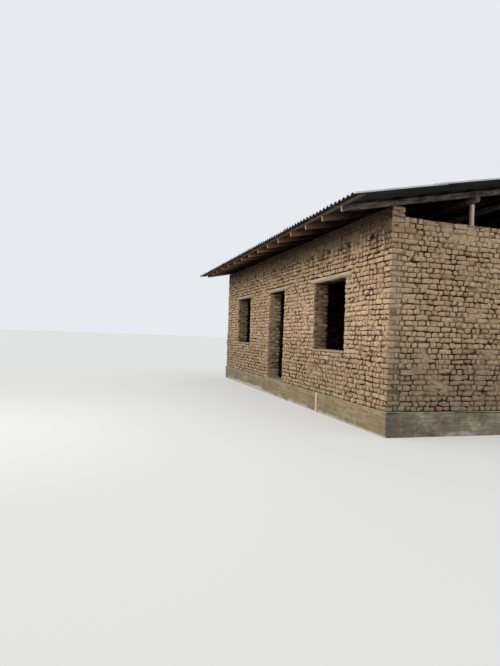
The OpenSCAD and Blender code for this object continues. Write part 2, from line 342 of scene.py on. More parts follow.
def fill(start, end, size):
    """Bricks of about that size between start and end: their first and last edges."""
    room = end - start + JOINT
    if room < BRICK_ROOM:
        return []
    count = max(1, round(room / (size + JOINT)))
    pitch = room / count
    return [(start + i * pitch, start + (i + 1) * pitch - JOINT) for i in range(count)]


def hand_laid(rng, bricks, halved):
    """The bricks of a stretch with a share halved, some swapped for long ones and uneven joints."""
    found, pending = [], list(bricks)
    while pending:
        start, end = pending.pop(0)
        draw = rng.random()
        if end - start > HALVED_L and draw < halved:
            middle = (start + end) / 2 + np.clip(rng.normal(0, 0.025), -0.05, 0.05)
            found += [(start, middle - JOINT / 2), (middle + JOINT / 2, end)]
        elif pending and pending[0][1] - start < LONGEST_L and draw < 0.07:
            found.append((start, pending.pop(0)[1]))
        else:
            found.append((start, end))
    moves = np.clip(rng.normal(0, 0.011, len(found) + 1), -0.022, 0.022)
    moves[[0, -1]] = 0
    return [(start + moves[i], end + moves[i + 1]) for i, (start, end) in enumerate(found)]


def course_bricks(side, course, spans, rng):
    """Bricks of a course on a face; a span is start, end and whether each end is a quoin."""
    found, size = [], side.quoin(course)
    for start, end, left, right in spans:
        start += left * (size + JOINT)
        end -= right * (size + JOINT)
        lengths = rng.uniform(*CLOSERS, 2)
        if size == BRICK_W and left and end - start > CLOSER_ROOM:
            found.append((start, start + lengths[0]))
            start += lengths[0] + JOINT
        if size == BRICK_W and right and end - start > CLOSER_ROOM:
            found.append((end - lengths[1], end))
            end -= lengths[1] + JOINT
        found += hand_laid(rng, fill(start, end, size), HALVED[side.length > 2 * HALF_D + 1])
    return [(*brick, *course_z(course)) for brick in found]


def face_template(cells):
    """The grid of a brick's shown face, its bent-back rim and the ring behind, and its quads."""
    points, quads = lattice((cells, cells, 1))
    hidden = (points[:, :2] % cells != 0).all(axis=1) & (points[:, 2] == 0)
    keep = ~hidden[quads].any(axis=1) & ~(points[quads][..., 2] == 0).all(axis=1)
    used, quads = np.unique(quads[keep], return_inverse=True)
    return points[used], quads.reshape(-1, 4)


# Cells across a brick's face on the front and right sides, and on the two others
FINE_CELLS, PLAIN_CELLS = 4, 3
FACES = {cells: face_template(cells) for cells in (FINE_CELLS, PLAIN_CELLS)}
SHELL_POINTS, SHELL_QUADS = lattice((3, 3, 3))
PLAIN_POINTS, PLAIN_QUADS = lattice((1, 1, 1))


def middles_and_halves(bricks):
    """The middle of each brick and its half size along each axis."""
    box = np.array(bricks)
    return (box[:, 0::2] + box[:, 1::2]) / 2, (box[:, 1::2] - box[:, 0::2]) / 2


def brick_tones(rng, side, centres):
    """Lightness of each brick, with patches of lighter and darker ones."""
    centres = side.place(np.pad(centres, ((0, 0), (0, 3 - centres.shape[1]))))
    patch = 0.5 * noise(centres, (1.3, 1.3, 0.8), 5) + 0.5 * noise(centres, 0.45, 6)
    return np.clip(0.5 + 0.12 * rng.standard_normal(len(centres)) + 0.12 * patch, 0, 1)[:, None]


def lay(pile, side, points, quads, tones):
    """Adds bricks with the same quads, each with a grain of its own."""
    grain = points + pile.rng.uniform(-50, 50, (len(points), 1, 3))
    repeated = quads + points.shape[1] * np.arange(len(points))[:, None, None]
    tones = np.broadcast_to(tones, points.shape[:2])
    pile.add(side.place(points), repeated.reshape(-1, 4), tones, grain)


def lay_faces(pile, side, bricks, rough, gaps):
    """Adds bricks that show one face; each is s0, s1, z0 and z1, and gaps widen the joints."""
    rng, cells = pile.rng, FINE_CELLS if side in (FRONT, RIGHT) else PLAIN_CELLS
    face_points, face_quads = FACES[cells]
    box = np.array(bricks)
    count = len(box)
    open_by = np.minimum(rng.exponential(np.array(gaps) * 0.85, (2, count, 2)), 0.02) * rough
    box[:, 0::2] += open_by[0]
    box[:, 1::2] -= open_by[1]
    box[:, 2:] += np.clip(rng.normal(0, 0.0042, (count, 1)), -0.008, 0.008) * rough
    lowest = box[:, 2] < PLINTH_TOP + COURSE / 4
    box[lowest, 2] = PLINTH_TOP + rng.uniform(0.006, 0.02, lowest.sum())
    centre, half = middles_and_halves(box)
    radius = np.minimum(rng.uniform(*ROUND, count), 0.55 * half.min(axis=1))[:, None]
    front = face_points[:, 2] == 1
    local = np.zeros((count, len(face_points), 3))
    out = np.zeros_like(local)
    for axis in range(2):
        reach = half[:, axis, None]
        inside = (reach - radius) * np.linspace(-1, 1, cells - 1)
        stops = np.concatenate([-reach, inside, reach], 1)
        local[..., axis] = stops[:, face_points[:, axis]]
        out[..., axis] = local[..., axis] - np.clip(local[..., axis], radius - reach, reach - radius)
    out[..., 2] = radius
    bend = out * (radius / np.linalg.norm(out, axis=2))[..., None] - out
    local[:, front] += bend[:, front]
    local[:, ~front, 2] = -FACE_DEPTH
    share = local[..., :2] / half[:, None]
    worn = np.abs(rng.normal(0, 0.0038, (count, 4)))
    broken = rng.random((count, 4)) < 0.22 * rough
    worn += broken * rng.uniform(0.25, 1, (count, 4)) * 0.026
    worn = np.minimum(worn, 0.45 * half.min(axis=1)[:, None])
    for number, (a, b) in enumerate(((-1, -1), (1, -1), (1, 1), (-1, 1))):
        near = np.clip(share[..., 0] * a, 0, 1) ** 3 * np.clip(share[..., 1] * b, 0, 1) ** 3
        pull = near * worn[:, number, None]
        local[..., 0] -= a * pull
        local[..., 1] -= b * pull
        local[..., 2] -= 0.8 * pull * front
    crown = rng.uniform(0, 0.006, count)[:, None]
    local[..., 2] += front * crown * (1 - share[..., 0] ** 2) * (1 - share[..., 1] ** 2)
    local += rng.normal(0, [0.003, 0.0027, 0.0021], local.shape) * rough
    tilt = (rng.normal(0, [0.03, 0.05, 0.017], (count, 3)) * rough)[:, None]
    proud = np.clip(rng.normal(0, 0.006, count), -0.013, 0.011) * rough
    turned = local.copy()
    turned[..., 0] -= tilt[..., 2] * local[..., 1]
    turned[..., 1] += tilt[..., 2] * local[..., 0]
    turned[..., 2] += front * (tilt[..., 0] * local[..., 0] + tilt[..., 1] * local[..., 1])
    turned[..., 2] += proud[:, None]
    turned[..., :2] += centre[:, None]
    at_edge = (np.abs(share) > 0.98).any(axis=-1)
    tones = np.maximum(brick_tones(rng, side, centre) - EDGE_DARKENING * at_edge, 0)
    lay(pile, side, turned, face_quads, tones)


def lay_shells(pile, side, bricks, rough, lighter=0):
    """Adds whole bricks; each is s0, s1, z0, z1, d0 and d1."""
    rng = pile.rng
    centre, half = middles_and_halves(bricks)
    count = len(half)
    half -= np.abs(rng.normal(0, (0.002, 0.001, 0.002), (count, 3))) * rough
    radius = rng.uniform(ROUND[0], 0.8 * ROUND[1], (count, 1))
    local = np.empty((count, len(SHELL_POINTS), 3))
    for axis in range(3):
        reach = half[:, axis, None]
        stops = np.concatenate([-reach, radius - reach, reach - radius, reach], 1)
        local[..., axis] = stops[:, SHELL_POINTS[:, axis]]
    limit = (half - radius)[:, None]
    inner = np.clip(local, -limit, limit)
    out = local - inner
    local = inner + out * (radius / np.linalg.norm(out, axis=2))[..., None]
    wear = np.abs(rng.normal(0, 0.004, (count, 8))) * rough
    wear += (rng.random((count, 8)) < 0.15) * rng.uniform(0.2, 1, (count, 8)) * 0.018
    share = local / half[:, None]
    for number, corner in enumerate(np.ndindex(2, 2, 2)):
        sign = np.array(corner) * 2 - 1
        near = np.prod(np.clip(share * sign, 0, 1), axis=-1) ** 3
        local -= sign * (near * wear[:, number, None])[..., None]
    local += rng.normal(0, 0.0022, local.shape) * rough
    turn = rng.normal(0, 0.014, count)[:, None] * rough
    turned = local.copy()
    turned[..., 0] -= turn * local[..., 2]
    turned[..., 2] += turn * local[..., 0]
    turned += (centre + np.clip(rng.normal(0, 0.0035, (count, 3)), -0.008, 0.007) * rough)[:, None]
    lay(pile, side, turned, SHELL_QUADS, brick_tones(rng, side, centre) + lighter)


def lay_plain(pile, side, bricks):
    """Adds the bricks of an inner face, each a face with bevelled sides; s0, s1, z0 and z1."""
    rng = pile.rng
    centre, half = middles_and_halves(bricks)
    front = PLAIN_POINTS[:, 2] == 1
    bevel = np.where(front, ROUND[0] / 2, 0)
    local = np.empty((len(half), len(PLAIN_POINTS), 3))
    local[..., :2] = (PLAIN_POINTS * 2 - 1)[None, :, :2] * (half[:, None] - bevel[None, :, None])
    local[..., 2] = np.where(front, 0, -FACE_DEPTH)
    local += rng.normal(0, 0.0016, local.shape)
    local[..., 2] += np.clip(rng.normal(0, 0.003, len(half)), -0.006, 0.006)[:, None]
    local[..., :2] += centre[:, None]
    keep = ~(PLAIN_POINTS[PLAIN_QUADS][..., 2] == 0).all(axis=1)
    lay(pile, side, local, PLAIN_QUADS[keep], brick_tones(rng, side, centre))


FRONT, BACK = Side(-HALF_L, -HALF_D, 1, 0, 0), Side(HALF_L, HALF_D, -1, 0, 0)
RIGHT, LEFT = Side(HALF_L, -HALF_D, 0, 1, 1), Side(-HALF_L, HALF_D, 0, -1, 1)
INNER_L, INNER_D = HALF_L - WALL_T, HALF_D - WALL_T
FRONT_INSIDE, BACK_INSIDE = Side(INNER_L, -INNER_D, -1, 0, 1), Side(-INNER_L, INNER_D, 1, 0, 1)
RIGHT_INSIDE, LEFT_INSIDE = Side(INNER_L, INNER_D, 0, -1, 0), Side(-INNER_L, -INNER_D, 0, 1, 0)
LINTELS = {"far_window_lintel": SILL_COURSE, "door_lintel": 0, "near_window_lintel": SILL_COURSE}
# First x, last x and lowest course of each opening in the front wall
OPENINGS = [
    (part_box(node)[0].x + LINTEL_BEARING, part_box(node)[1].x - LINTEL_BEARING, lowest)
    for node, lowest in LINTELS.items()
]
JOISTS = middles_along_x("ceiling_joists")
JOIST_W = float(np.ptp(spans_along_x("ceiling_joists")[0]))


def gaps_in(side, course, pockets):
    """Gaps of a course on a long face, along s: start, end and whether the gap has jambs."""
    gaps = []
    if side in (FRONT, FRONT_INSIDE):
        for x0, x1, lowest in OPENINGS:
            if lowest <= course < HEAD_COURSE:
                gaps.append((x0, x1, True))
            elif course in (HEAD_COURSE, HEAD_COURSE + 1):
                gaps.append((x0 - LINTEL_BEARING, x1 + LINTEL_BEARING, False))
    if pockets and course == JOIST_COURSE:
        gaps += [(x - pockets / 2, x + pockets / 2, False) for x in JOISTS]
    start, along = side.start[0], side.along[0]
    return sorted((*sorted(((x0 - start) * along, (x1 - start) * along)), jamb) for x0, x1, jamb in gaps)


def spans_of(side, course, pockets, quoins):
    """Stretches of brickwork in a course of a long face."""
    spans, at, quoin = [], 0.0, quoins
    for start, end, jamb in gaps_in(side, course, pockets):
        spans.append((at, start, quoin, jamb))
        at, quoin = end, jamb
    return [*spans, (at, side.length, quoin, quoins)]


def jamb_bricks(side, course):
    """Whole bricks at the jambs of a course of the front wall, over the wall's thickness."""
    outer = side.quoin(course)
    inner = BRICK_L + BRICK_W - outer
    found = []
    for start, end, jamb in gaps_in(side, course, 0):
        for edge, way in ((start, -1), (end, 1)) if jamb else ():
            for length, d1, d0 in ((outer, 0, -inner), (inner, -inner - JOINT, -WALL_T)):
                far = edge + way * length
                found.append((min(edge, far), max(edge, far), *course_z(course), d0, d1))
    return found


def bearing_bricks():
    """Low bricks under both ends of each lintel, over the wall's thickness."""
    z0, z1 = course_z(HEAD_COURSE)[0], HEAD_Z - JOINT / 2
    found = []
    for x0, x1, _ in OPENINGS:
        for start, end in ((x0 - LINTEL_BEARING + JOINT, x0), (x1, x1 + LINTEL_BEARING - JOINT)):
            for d0, d1 in ((-BRICK_W, 0), (-WALL_T, -BRICK_W - JOINT)):
                found.append((start + HALF_L, end + HALF_L, z0, z1, d0, d1))
    return found


def corner_bricks(side, course):
    """Whole bricks at both ends of a long face."""
    length = side.quoin(course)
    depths = length - BRICK_L - BRICK_W, 0
    return [(s, s + length, *course_z(course), *depths) for s in (0, side.length - length)]


def long_wall_bricks(node, side, inside, courses, pockets, material):
    """Bricks of a long wall or of its head, on both faces, at its corners and its jambs."""
    pile = Pile(node + "_bricks")
    shown, whole, jambs, plain = [], [], [], []
    for course in courses:
        shown += course_bricks(side, course, spans_of(side, course, pockets, True), pile.rng)
        whole += corner_bricks(side, course)
        jambs += jamb_bricks(side, course)
        if side is FRONT and course == HEAD_COURSE:
            jambs += bearing_bricks()
        inner_spans = spans_of(inside, course, 0.12 if pockets else 0, False)
        plain += course_bricks(inside, course, inner_spans, pile.rng)
    for is_open, bed_gap in ((False, 0.0014), (True, 0.0042)):
        bricks = [brick for brick in shown if (OPEN_LOW < brick[2] < OPEN_HIGH) is is_open]
        if bricks:
            lay_faces(pile, side, bricks, 1.35, (0.0046, bed_gap))
    lay_shells(pile, side, whole, 1.5)
    if jambs:
        lay_shells(pile, side, jambs, 0.9, lighter=0.08)
    lay_plain(pile, inside, plain)
    pile.make("", material, [node], "adobe")


def gable_wall_bricks(node, side, inside, material):
    """Bricks of a gable wall: faces outside and inside, whole bricks along its open top."""
    pile = Pile(node + "_bricks")
    rng, shown, top, plain = pile.rng, [], [], []
    for course in range(COURSES):
        bricks = course_bricks(side, course, [(0, side.length, True, True)], rng)
        if course == COURSES - 1:
            top = [(*b[:2], b[2] - 0.004, b[3] + 0.004 + rng.normal(0, 0.006), -0.12, 0) for b in bricks]
        else:
            shown += bricks
        plain += course_bricks(inside, course, [(0, inside.length, False, False)], rng)
    lay_faces(pile, side, shown, 1.25, (0.0048, 0.0006))
    lay_shells(pile, side, top, 2)
    lay_plain(pile, inside, plain)
    pile.make("", material, [node], "adobe")


def mud_surface(points, side, smear):
    """Mud core pushed out between the bricks, and how far it fills the joints, from 0 to 1."""
    world = side.place(points)
    filled = np.clip(smear(world) + 0.5 * noise(world, 0.17, 13) + 0.35 * noise(world, 0.07, 12), 0, 0.85)
    for x0, x1, _ in OPENINGS if side is FRONT else ():
        half, from_middle = (x1 - x0) / 2, np.abs(world[:, 0] - (x0 + x1) / 2)
        over = smooth(from_middle, half + LINTEL_BEARING, half + 0.15)
        filled *= 1 - over * (np.abs(world[:, 2] - LINTEL_TOP - 0.01) < 0.05)
    filled *= smooth(world[:, 2], PLINTH_TOP, PLINTH_TOP + 0.04)
    outward = np.where(points[:, 2] > -WALL_T / 2, 1.0, -1.0)
    moved = points.copy()
    moved[:, 2] += outward * (MUD_DEPTH - 0.0015) * filled
    return side.place(moved), filled


def long_wall_smear(world):
    """Joints of the long walls are open low down and filled under the eaves."""
    patches = 0.5 * smooth(noise(world, 0.5, 14), 0.35, 0.8)
    level = 0.2 + patches - 0.25 * smooth(world[:, 2], 2.95, 3.1)
    return level + 0.65 * smooth(world[:, 2], 3.42, 3.66)


def gable_smear(world):
    """Joints of the gables are filled in the top courses."""
    patches = 0.45 * smooth(noise(world, 0.45, 15), 0.2, 0.7)
    return 0.16 + patches + 0.3 * smooth(world[:, 2], 3.42, 3.54)


def mud_core(node, side, stretch, heights, holes, smear, material, blocks=()):
    """The mud between and behind the bricks of a wall, with its holes cut through, and blocks of mud."""
    low, high = heights
    s_stops = [*stretch, *(s for hole in holes for s in hole[:2])]
    z_stops = [*heights, *(z for hole in holes for z in hole[2:] if low < z < high)]
    lines = [grid_lines(stops, MUD_CELLS[side in (FRONT, RIGHT)]) for stops in (s_stops, z_stops)]
    middle_s, middle_z = ((line[:-1] + line[1:]) / 2 for line in lines)
    mask = np.ones((len(middle_s), len(middle_z)), bool)
    for s0, s1, z0, z1 in holes:
        in_s, in_z = (middle_s > s0) & (middle_s < s1), (middle_z > z0) & (middle_z < z1)
        mask &= ~(in_s[:, None] & in_z[None])
    points, quads = masked_slab(lines, mask, -WALL_T + MUD_DEPTH, -MUD_DEPTH)
    verts, filled = mud_surface(points, side, smear)
    at_corner = np.isclose(points[:, :1], stretch).any(axis=1)
    at_reveal = np.isclose(points[:, :1], s_stops).any(axis=1) & ~at_corner
    pile = Pile(node)
    pile.add(verts, quads, np.maximum(filled, 0.72 * at_reveal + 0.4 * at_corner))
    for block in blocks:
        low, high = np.array(block[0::2]), np.array(block[1::2])
        pile.add(side.place(low + PLAIN_POINTS * (high - low)), PLAIN_QUADS, 0)
    pile.make("_mud", material, [node], "mud")


def long_wall_holes(side):
    """Openings of the front wall, as s0, s1, z0 and z1."""
    holes = []
    for x0, x1, lowest in OPENINGS if side is FRONT else ():
        bottom = PLINTH_TOP + lowest * COURSE - (0 if lowest else 0.1)
        s0, s1 = x0 + HALF_L, x1 + HALF_L
        holes.append((s0 - REVEAL_MUD, s1 + REVEAL_MUD, bottom, HEAD_Z + 0.01))
    return holes


def joist_places(side):
    """The middles of the joists along a long wall."""
    return [(x - side.start[0]) * side.along[0] for x in JOISTS]


def pocket_holes(side):
    """Holes in front of the joist ends, along a long wall."""
    half = POCKET_W / 2 + 0.004
    return [(s - half, s + half, JOIST_Z - 0.1, JOIST_Z + POCKET_H) for s in joist_places(side)]


def pocket_cheeks(side):
    """Mud on both sides of the joist ends, behind their holes: s0, s1, z0, z1, d0 and d1."""
    found = []
    for s in joist_places(side):
        for way in (-1, 1):
            stops = sorted((s + way * (JOIST_W / 2 + 0.002), s + way * (POCKET_W / 2 + 0.02)))
            found.append((*stops, JOIST_Z, JOIST_Z + POCKET_H + 0.02, 0.03 - WALL_T, -JOIST_COVER - 0.003))
    return found


def upstand(node, side, brick, mud):
    """The low brickwork between the rafters: thin courses, toothed where it ends at the gables."""
    pile = Pile(node)
    height = (UPSTAND_TOP - WALL_TOP - 0.012) / UPSTAND_COURSES
    half = (UPSTAND_T - JOINT) / 2
    shown, whole = [], []
    for course in range(UPSTAND_COURSES):
        z0 = WALL_TOP + course * height + 0.004
        z1 = z0 + height - 0.008
        size, rows = BRICK_W, [(-UPSTAND_T - 0.007, 0)]
        if course % 2:
            size, rows = BRICK_L, [(-half, 0), (-UPSTAND_T + 0.006, -half - JOINT)]
        for s0, s1 in ((0, size), (side.length - size, side.length)):
            whole += [(s0, s1, z0, z1, *row) for row in rows]
        bricks = fill(size + JOINT, side.length - (size + JOINT), size)
        shown += [(*brick, z0, z1) for brick in bricks]
    lay_faces(pile, side, shown, 1.1, (0.0028, 0.002))
    lay_shells(pile, side, whole, 1.8)
    pile.make("_bricks", brick, [node], "adobe")
    size = side.length - 0.03, UPSTAND_TOP - WALL_TOP - 0.002, UPSTAND_T - 0.02
    points, quads = rounded_box(size, 0.012, (150, 4, 4))
    points += (side.length / 2, (UPSTAND_TOP + WALL_TOP) / 2, -UPSTAND_T / 2)
    points[:, 2] += 0.004 * noise(points, 0.09, 21)
    core = Pile(node)
    core.add(side.place(points), quads)
    core.make("_mud", mud, [node], "mud")


# Timber

# Tones that stand for a sawn end, for weathered timber and for painted shade on undersides, and that of the
# eaves boards, which lifts them out of the roof boards' painted shade
END_GRAIN, WEATHERED, UNDERSIDE_SHADE, BOARD_TONE = 2, 3, -1, 1.43


def beam(pile, start, end, width, height, side, radius=0.004, bow=0.004, cell=0.25, tone=None, ends=False):
    """A sawn timber from start to end; side is the direction of its width, ends shows its grain."""
    rng, start, end = pile.rng, np.array(start, float), np.array(end, float)
    length = np.linalg.norm(end - start)
    along = (end - start) / length
    cells = (max(3, round(length / cell)), 4, 4)
    local, quads = rounded_box((length, width, height), radius, cells)
    t = local[:, 0] / length + 0.5
    sway = rng.normal(0, bow, 2)
    twist = rng.normal(0, 0.012)
    local[:, 1] += sway[0] * np.sin(math.pi * t) + twist * (t - 0.5) * local[:, 2]
    local[:, 2] += sway[1] * np.sin(math.pi * t) - twist * (t - 0.5) * local[:, 1]
    grain = local + rng.uniform(-30, 30, 3)
    grain[:, 1:] = local[:, 1:] + rng.uniform(-0.09, 0.09, 2)
    moved = wobble(local, (0.3, 0.06, 0.06), 0.0016, 0, grain)
    world = (start + end) / 2 + moved @ np.array([along, side, np.cross(along, side)])
    world[:, 2] = np.maximum(world[:, 2], 0)
    tone = np.clip(rng.normal(0.5, 0.17), 0, 1) if tone is None else tone
    at_end = np.abs(local[:, 0]) > length / 2 - 0.002
    pile.add(world, quads, np.where(at_end & ends, END_GRAIN, tone), grain)


def ring_quads(rings, sides):
    """Quads between rings of points, all with that many sides."""
    i, j = np.divmod(np.arange(rings * sides), sides)
    k = (j + 1) % sides
    return np.stack([i * sides + j, i * sides + k, (i + 1) * sides + k, (i + 1) * sides + j], 1)


def fan(middle, first, sides):
    """Triangles from a middle point to the ring that starts with the first point."""
    j = np.arange(sides)
    return np.stack([np.full(sides, middle), first + j, first + (j + 1) % sides], 1)


def log(pile, start, end, radius):
    """A peeled log from start to end along X, a little crooked, with swellings at its knots."""
    rng, sides, length = pile.rng, 20, end[0] - start[0]
    rings = max(6, round(length / 0.1))
    angles = np.arange(sides) * 2 * math.pi / sides
    t, angle = np.meshgrid(np.linspace(0, 1, rings + 1), angles, indexing="ij")
    x, y, z = t * length, np.cos(angle), np.sin(angle)
    offset = rng.uniform(-40, 40, 3)
    skin = np.stack([x, 0.5 * y, 0.5 * z], -1) + offset
    swell = 0.035 * noise(skin, (0.35, 0.4, 0.4), 31) + 0.02 * noise(skin, (0.9, 1.5, 1.5), 32)
    size = radius * (1 + swell - 0.06 * (t - 0.3))
    size *= 0.93 + 0.07 * np.minimum(np.minimum(t, 1 - t) * length / 0.012, 1)
    bend = 0.006 * np.sin(math.pi * t) * rng.normal(0, 1)
    points = np.stack([x, size * y + bend, size * z + 0.5 * bend], -1).reshape(-1, 3) + start
    grain = np.stack([x + offset[0], size * y, size * z], -1).reshape(-1, 3)
    count, last = len(points), rings * sides
    near, far = fan(count, 0, sides), fan(count + 1, last, sides)[:, [0, 2, 1]]
    faces = [group[:, ::-1] for group in (ring_quads(rings, sides), np.concatenate([near, far]))]
    middles = points[:sides].mean(0), points[-sides:].mean(0)
    middle_grain = (offset[0], 0, 0), (length + offset[0], 0, 0)
    tone = np.clip(rng.normal(0.5, 0.15), 0, 1)
    pile.add(np.vstack([points, *middles]), faces, tone, np.vstack([grain, *middle_grain]))


RAFTER_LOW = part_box("front_rafters")[0]
TAIL_Y = HALF_D + (UPSTAND_TOP - RAFTER_LOW.z) / RISE
RAFTER_H = (-RAFTER_LOW.y - TAIL_Y) / math.sin(SLOPE)
RAFTER_LEN = TAIL_Y / math.cos(SLOPE)


class Slope:
    """A roof plane: u runs up the slope from the rafter tails and v stands out of the rafter tops."""

    def __init__(self, sign):
        self.sign = sign
        self.across = np.array([sign, 0.0, 0.0])
        self.up = np.array([0.0, sign * math.cos(SLOPE), math.sin(SLOPE)])
        self.out = np.array([0.0, -sign * math.sin(SLOPE), math.cos(SLOPE)])
        top = UPSTAND_TOP + RISE * (HALF_D - TAIL_Y) + RAFTER_H * math.cos(SLOPE)
        self.start = np.array([0.0, sign * RAFTER_LOW.y, top])

    def place(self, points):
        """World places of points given as x across, u up the slope and v out of it."""
        x, u, v = (np.asarray(points, float)[..., axis, None] for axis in range(3))
        return self.start + x * self.across + u * self.up + v * self.out


SLOPES = {"front": Slope(1), "back": Slope(-1)}


def rafters(pile, node, low, high, slope):
    """Sawn rafters of one slope, their tails cut a little unevenly."""
    for x0, x1 in spans_along_x(node):
        x = slope.sign * (x0 + x1) / 2
        tail = slope.place([x, pile.rng.uniform(0, 0.02), -RAFTER_H / 2])
        head = slope.place([x, RAFTER_LEN + 0.012, -RAFTER_H / 2])
        tone = WEATHERED if abs(x) > INNER_L else None
        beam(pile, tail, head, x1 - x0, RAFTER_H, slope.across, bow=0.003, tone=tone, ends=True)


def batten_rows(node, slope):
    """Lower and upper edge of each batten, up the slope, and half its length, from its CAD node."""
    co = np.array([v.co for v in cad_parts[node].data.vertices])
    u = np.round((co - slope.start) @ slope.up, 4)
    edges = np.unique(u)
    edges = edges[np.concatenate([[True], np.diff(edges) > 0.002])]
    return [(a, b, np.abs(co[np.abs(u - a) < 0.002, 0]).max()) for a, b in zip(edges[0::2], edges[1::2])]


def battens(pile, node, low, high, slope):
    """Roof boards in lengths that meet on rafters, with wane and uneven widths."""
    rng, joints = pile.rng, middles_along_x("front_rafters")
    for number, (low, high, half) in enumerate(batten_rows(node, slope)):
        first = (4 + 3 * number) % 5 + 2
        stops = [-half, joints[first], joints[first + 6], half]
        for x0, x1 in zip(stops, stops[1:]):
            width = (high - low) * rng.uniform(0.86, 1)
            middle = (low + high) / 2 + rng.normal(0, 0.004)
            start = slope.place([x0 + 0.001, middle + rng.normal(0, 0.003), BATTEN_T / 2])
            end = slope.place([x1 - 0.001, middle + rng.normal(0, 0.003), BATTEN_T / 2])
            # The eaves boards' tone lifts them out of the painted shade of the other boards
            tone = None if number else BOARD_TONE
            beam(pile, start, end, width, BATTEN_T, slope.up, 0.003, 0.003, 0.3, tone)


def purlin(pile, node, low, high, posts):
    """A line of logs that meet on the posts."""
    y, z, radius = (low.y + high.y) / 2, (low.z + high.z) / 2, (high.z - low.z) / 2
    posts_x = middles_along_x(posts)
    stops = [low.x, posts_x[2], posts_x[4], high.x]
    for x0, x1 in zip(stops, stops[1:]):
        size = radius * pile.rng.uniform(0.94, 1)
        log(pile, (x0 + 0.002, y + pile.rng.normal(0, 0.004), z), (x1 - 0.002, y, z), size)


def posts(pile, node, low, high):
    """Squared posts under a line of logs, standing on the joists and the gable walls."""
    y, joist_top = (low.y + high.y) / 2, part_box("ceiling_joists")[1].z
    for x0, x1 in spans_along_x(node):
        x, width = (x0 + x1) / 2, x1 - x0
        foot = WALL_TOP if abs(x) > INNER_L else joist_top
        beam(pile, (x, y, foot), (x, y, high.z - 0.012), width, width, (1, 0, 0), 0.006, 0.002, 0.12)


def stacked_beams(pile, node, low, high):
    """A wall plate of squared beams laid on each other, in lengths that are butted."""
    y, height = (low.y + high.y) / 2, (high.z - low.z) / 2
    for layer in range(2):
        z = low.z + (layer + 0.5) * height
        stops = [low.x, -1.2 + 2.3 * layer, high.x]
        for x0, x1 in zip(stops, stops[1:]):
            ends = (x0 + 0.002, y, z), (x1 - 0.002, y, z)
            beam(pile, *ends, high.y - low.y - 0.004, height - 0.002, (0, 1, 0), 0.006, 0)


def joists(pile, node, low, high):
    """Ceiling joists from wall to wall."""
    z = (low.z + high.z) / 2
    for x0, x1 in spans_along_x(node):
        x = (x0 + x1) / 2
        beam(pile, (x, low.y, z), (x, high.y, z), x1 - x0, high.z - low.z, (1, 0, 0), 0.005, 0.002)


def lintel(pile, node, low, high):
    """Three thick boards laid side by side over an opening, with painted shade on their undersides."""
    z, board = (low.z + high.z) / 2, (high.y - low.y) / 3
    for number in range(3):
        y = low.y + (number + 0.5) * board
        short = pile.rng.uniform(0, 0.03) if number else 0
        start, end = (low.x + short, y, z + pile.rng.normal(0, 0.001)), (high.x - short, y, z)
        beam(pile, start, end, board - 0.004, high.z - low.z, (0, 1, 0), 0.009, 0.001, 0.08, 0.6)
        # Painted shade on the boards' undersides
        under = pile.verts[-1][:, 2] < low.z + 0.005
        pile.tones[-1] = np.where(under, UNDERSIDE_SHADE, pile.tones[-1])


def form_batten(pile, node, low, high):
    """The formwork board left on the plinth, weathered and slightly warped."""
    x, y = (low.x + high.x) / 2, (low.y + high.y) / 2
    width, thick = high.x - low.x, high.y - low.y
    beam(pile, (x, y, low.z), (x, y, high.z - 0.006), width, thick, (1, 0, 0), 0.003, 0.001, 0.06, 0.45)


# Roof sheets


def wave_height(x):
    """Height of the corrugation at x, from the left edge of a sheet."""
    crest = 0.5 - 0.5 * np.cos(2 * math.pi * x / WAVE)
    return WAVE_H * (0.25 * crest + 0.75 * (3 * crest**2 - 2 * crest**3))


def sheet(pile, slope, left, low, high, lifted, lapped):
    """One corrugated sheet: its first lapped waves lie on its neighbour, its foot on the row below."""
    rng, width = pile.rng, SHEET_WAVES * WAVE
    cells = (SHEET_WAVES * 8, 4, 1)
    points, quads = lattice(cells)
    x = points[:, 0] / cells[0] * width
    along = points[:, 1] / cells[1]
    u = low + along * (high - low)
    layer = points[:, 2]
    skew = rng.normal(0, 0.0015)
    lift = (SHEET_T + 0.001) * (lapped > 0) * (1 - smooth(x, lapped * WAVE, (lapped + 1.2) * WAVE))
    lift = lift + (SHEET_T + 0.004) * lifted * (1 - along) + 0.002 * lifted
    sag = 0.0025 * noise(np.stack([x + left, u, u * 0], 1), (0.7, 0.9, 1), 41)
    v = BATTEN_T + wave_height(x) + layer * SHEET_T + lift + sag
    rag = rng.normal(0, 0.004)
    u = u + (1 - along) * (rag + 0.004 * (x / width - 0.5) * rng.normal(0, 1))
    # A tone of one on the edges makes a painted highlight there
    edge = (points[:, 0] % cells[0] == 0) | (points[:, 1] == 0)
    wear = np.where(edge, 1.0, 0.0) + rng.uniform(0, 0.35)
    world = slope.place(np.stack([x + left + skew, u, v], 1))
    grain = np.stack([x + rng.uniform(-20, 20), u, layer], 1)
    pile.add(world, quads, np.clip(wear, 0, 1), grain)


def roof_row(pile, node, low, high, slope, row):
    """A row of sheets over one slope, each lapped by a wave or two over the one beside it."""
    waves = round(2 * high.x / WAVE)
    count = math.ceil((waves - 1) / (SHEET_WAVES - 1))
    lefts = [round(number * (waves - SHEET_WAVES) / (count - 1)) for number in range(count)]
    for number, left in enumerate(lefts):
        lapped = lefts[number - 1] + SHEET_WAVES - left if number else 0
        sheet(pile, slope, left * WAVE - high.x, *row_reach(row), float(row > 0), lapped)


def row_reach(row):
    """Lower and upper edge of a row of sheets, up the slope."""
    low = -SHEET_OUT / math.cos(SLOPE) + row * (SHEET_L - SHEET_LAP)
    return low, min(low + SHEET_L, RAFTER_LEN - RIDGE_GAP)


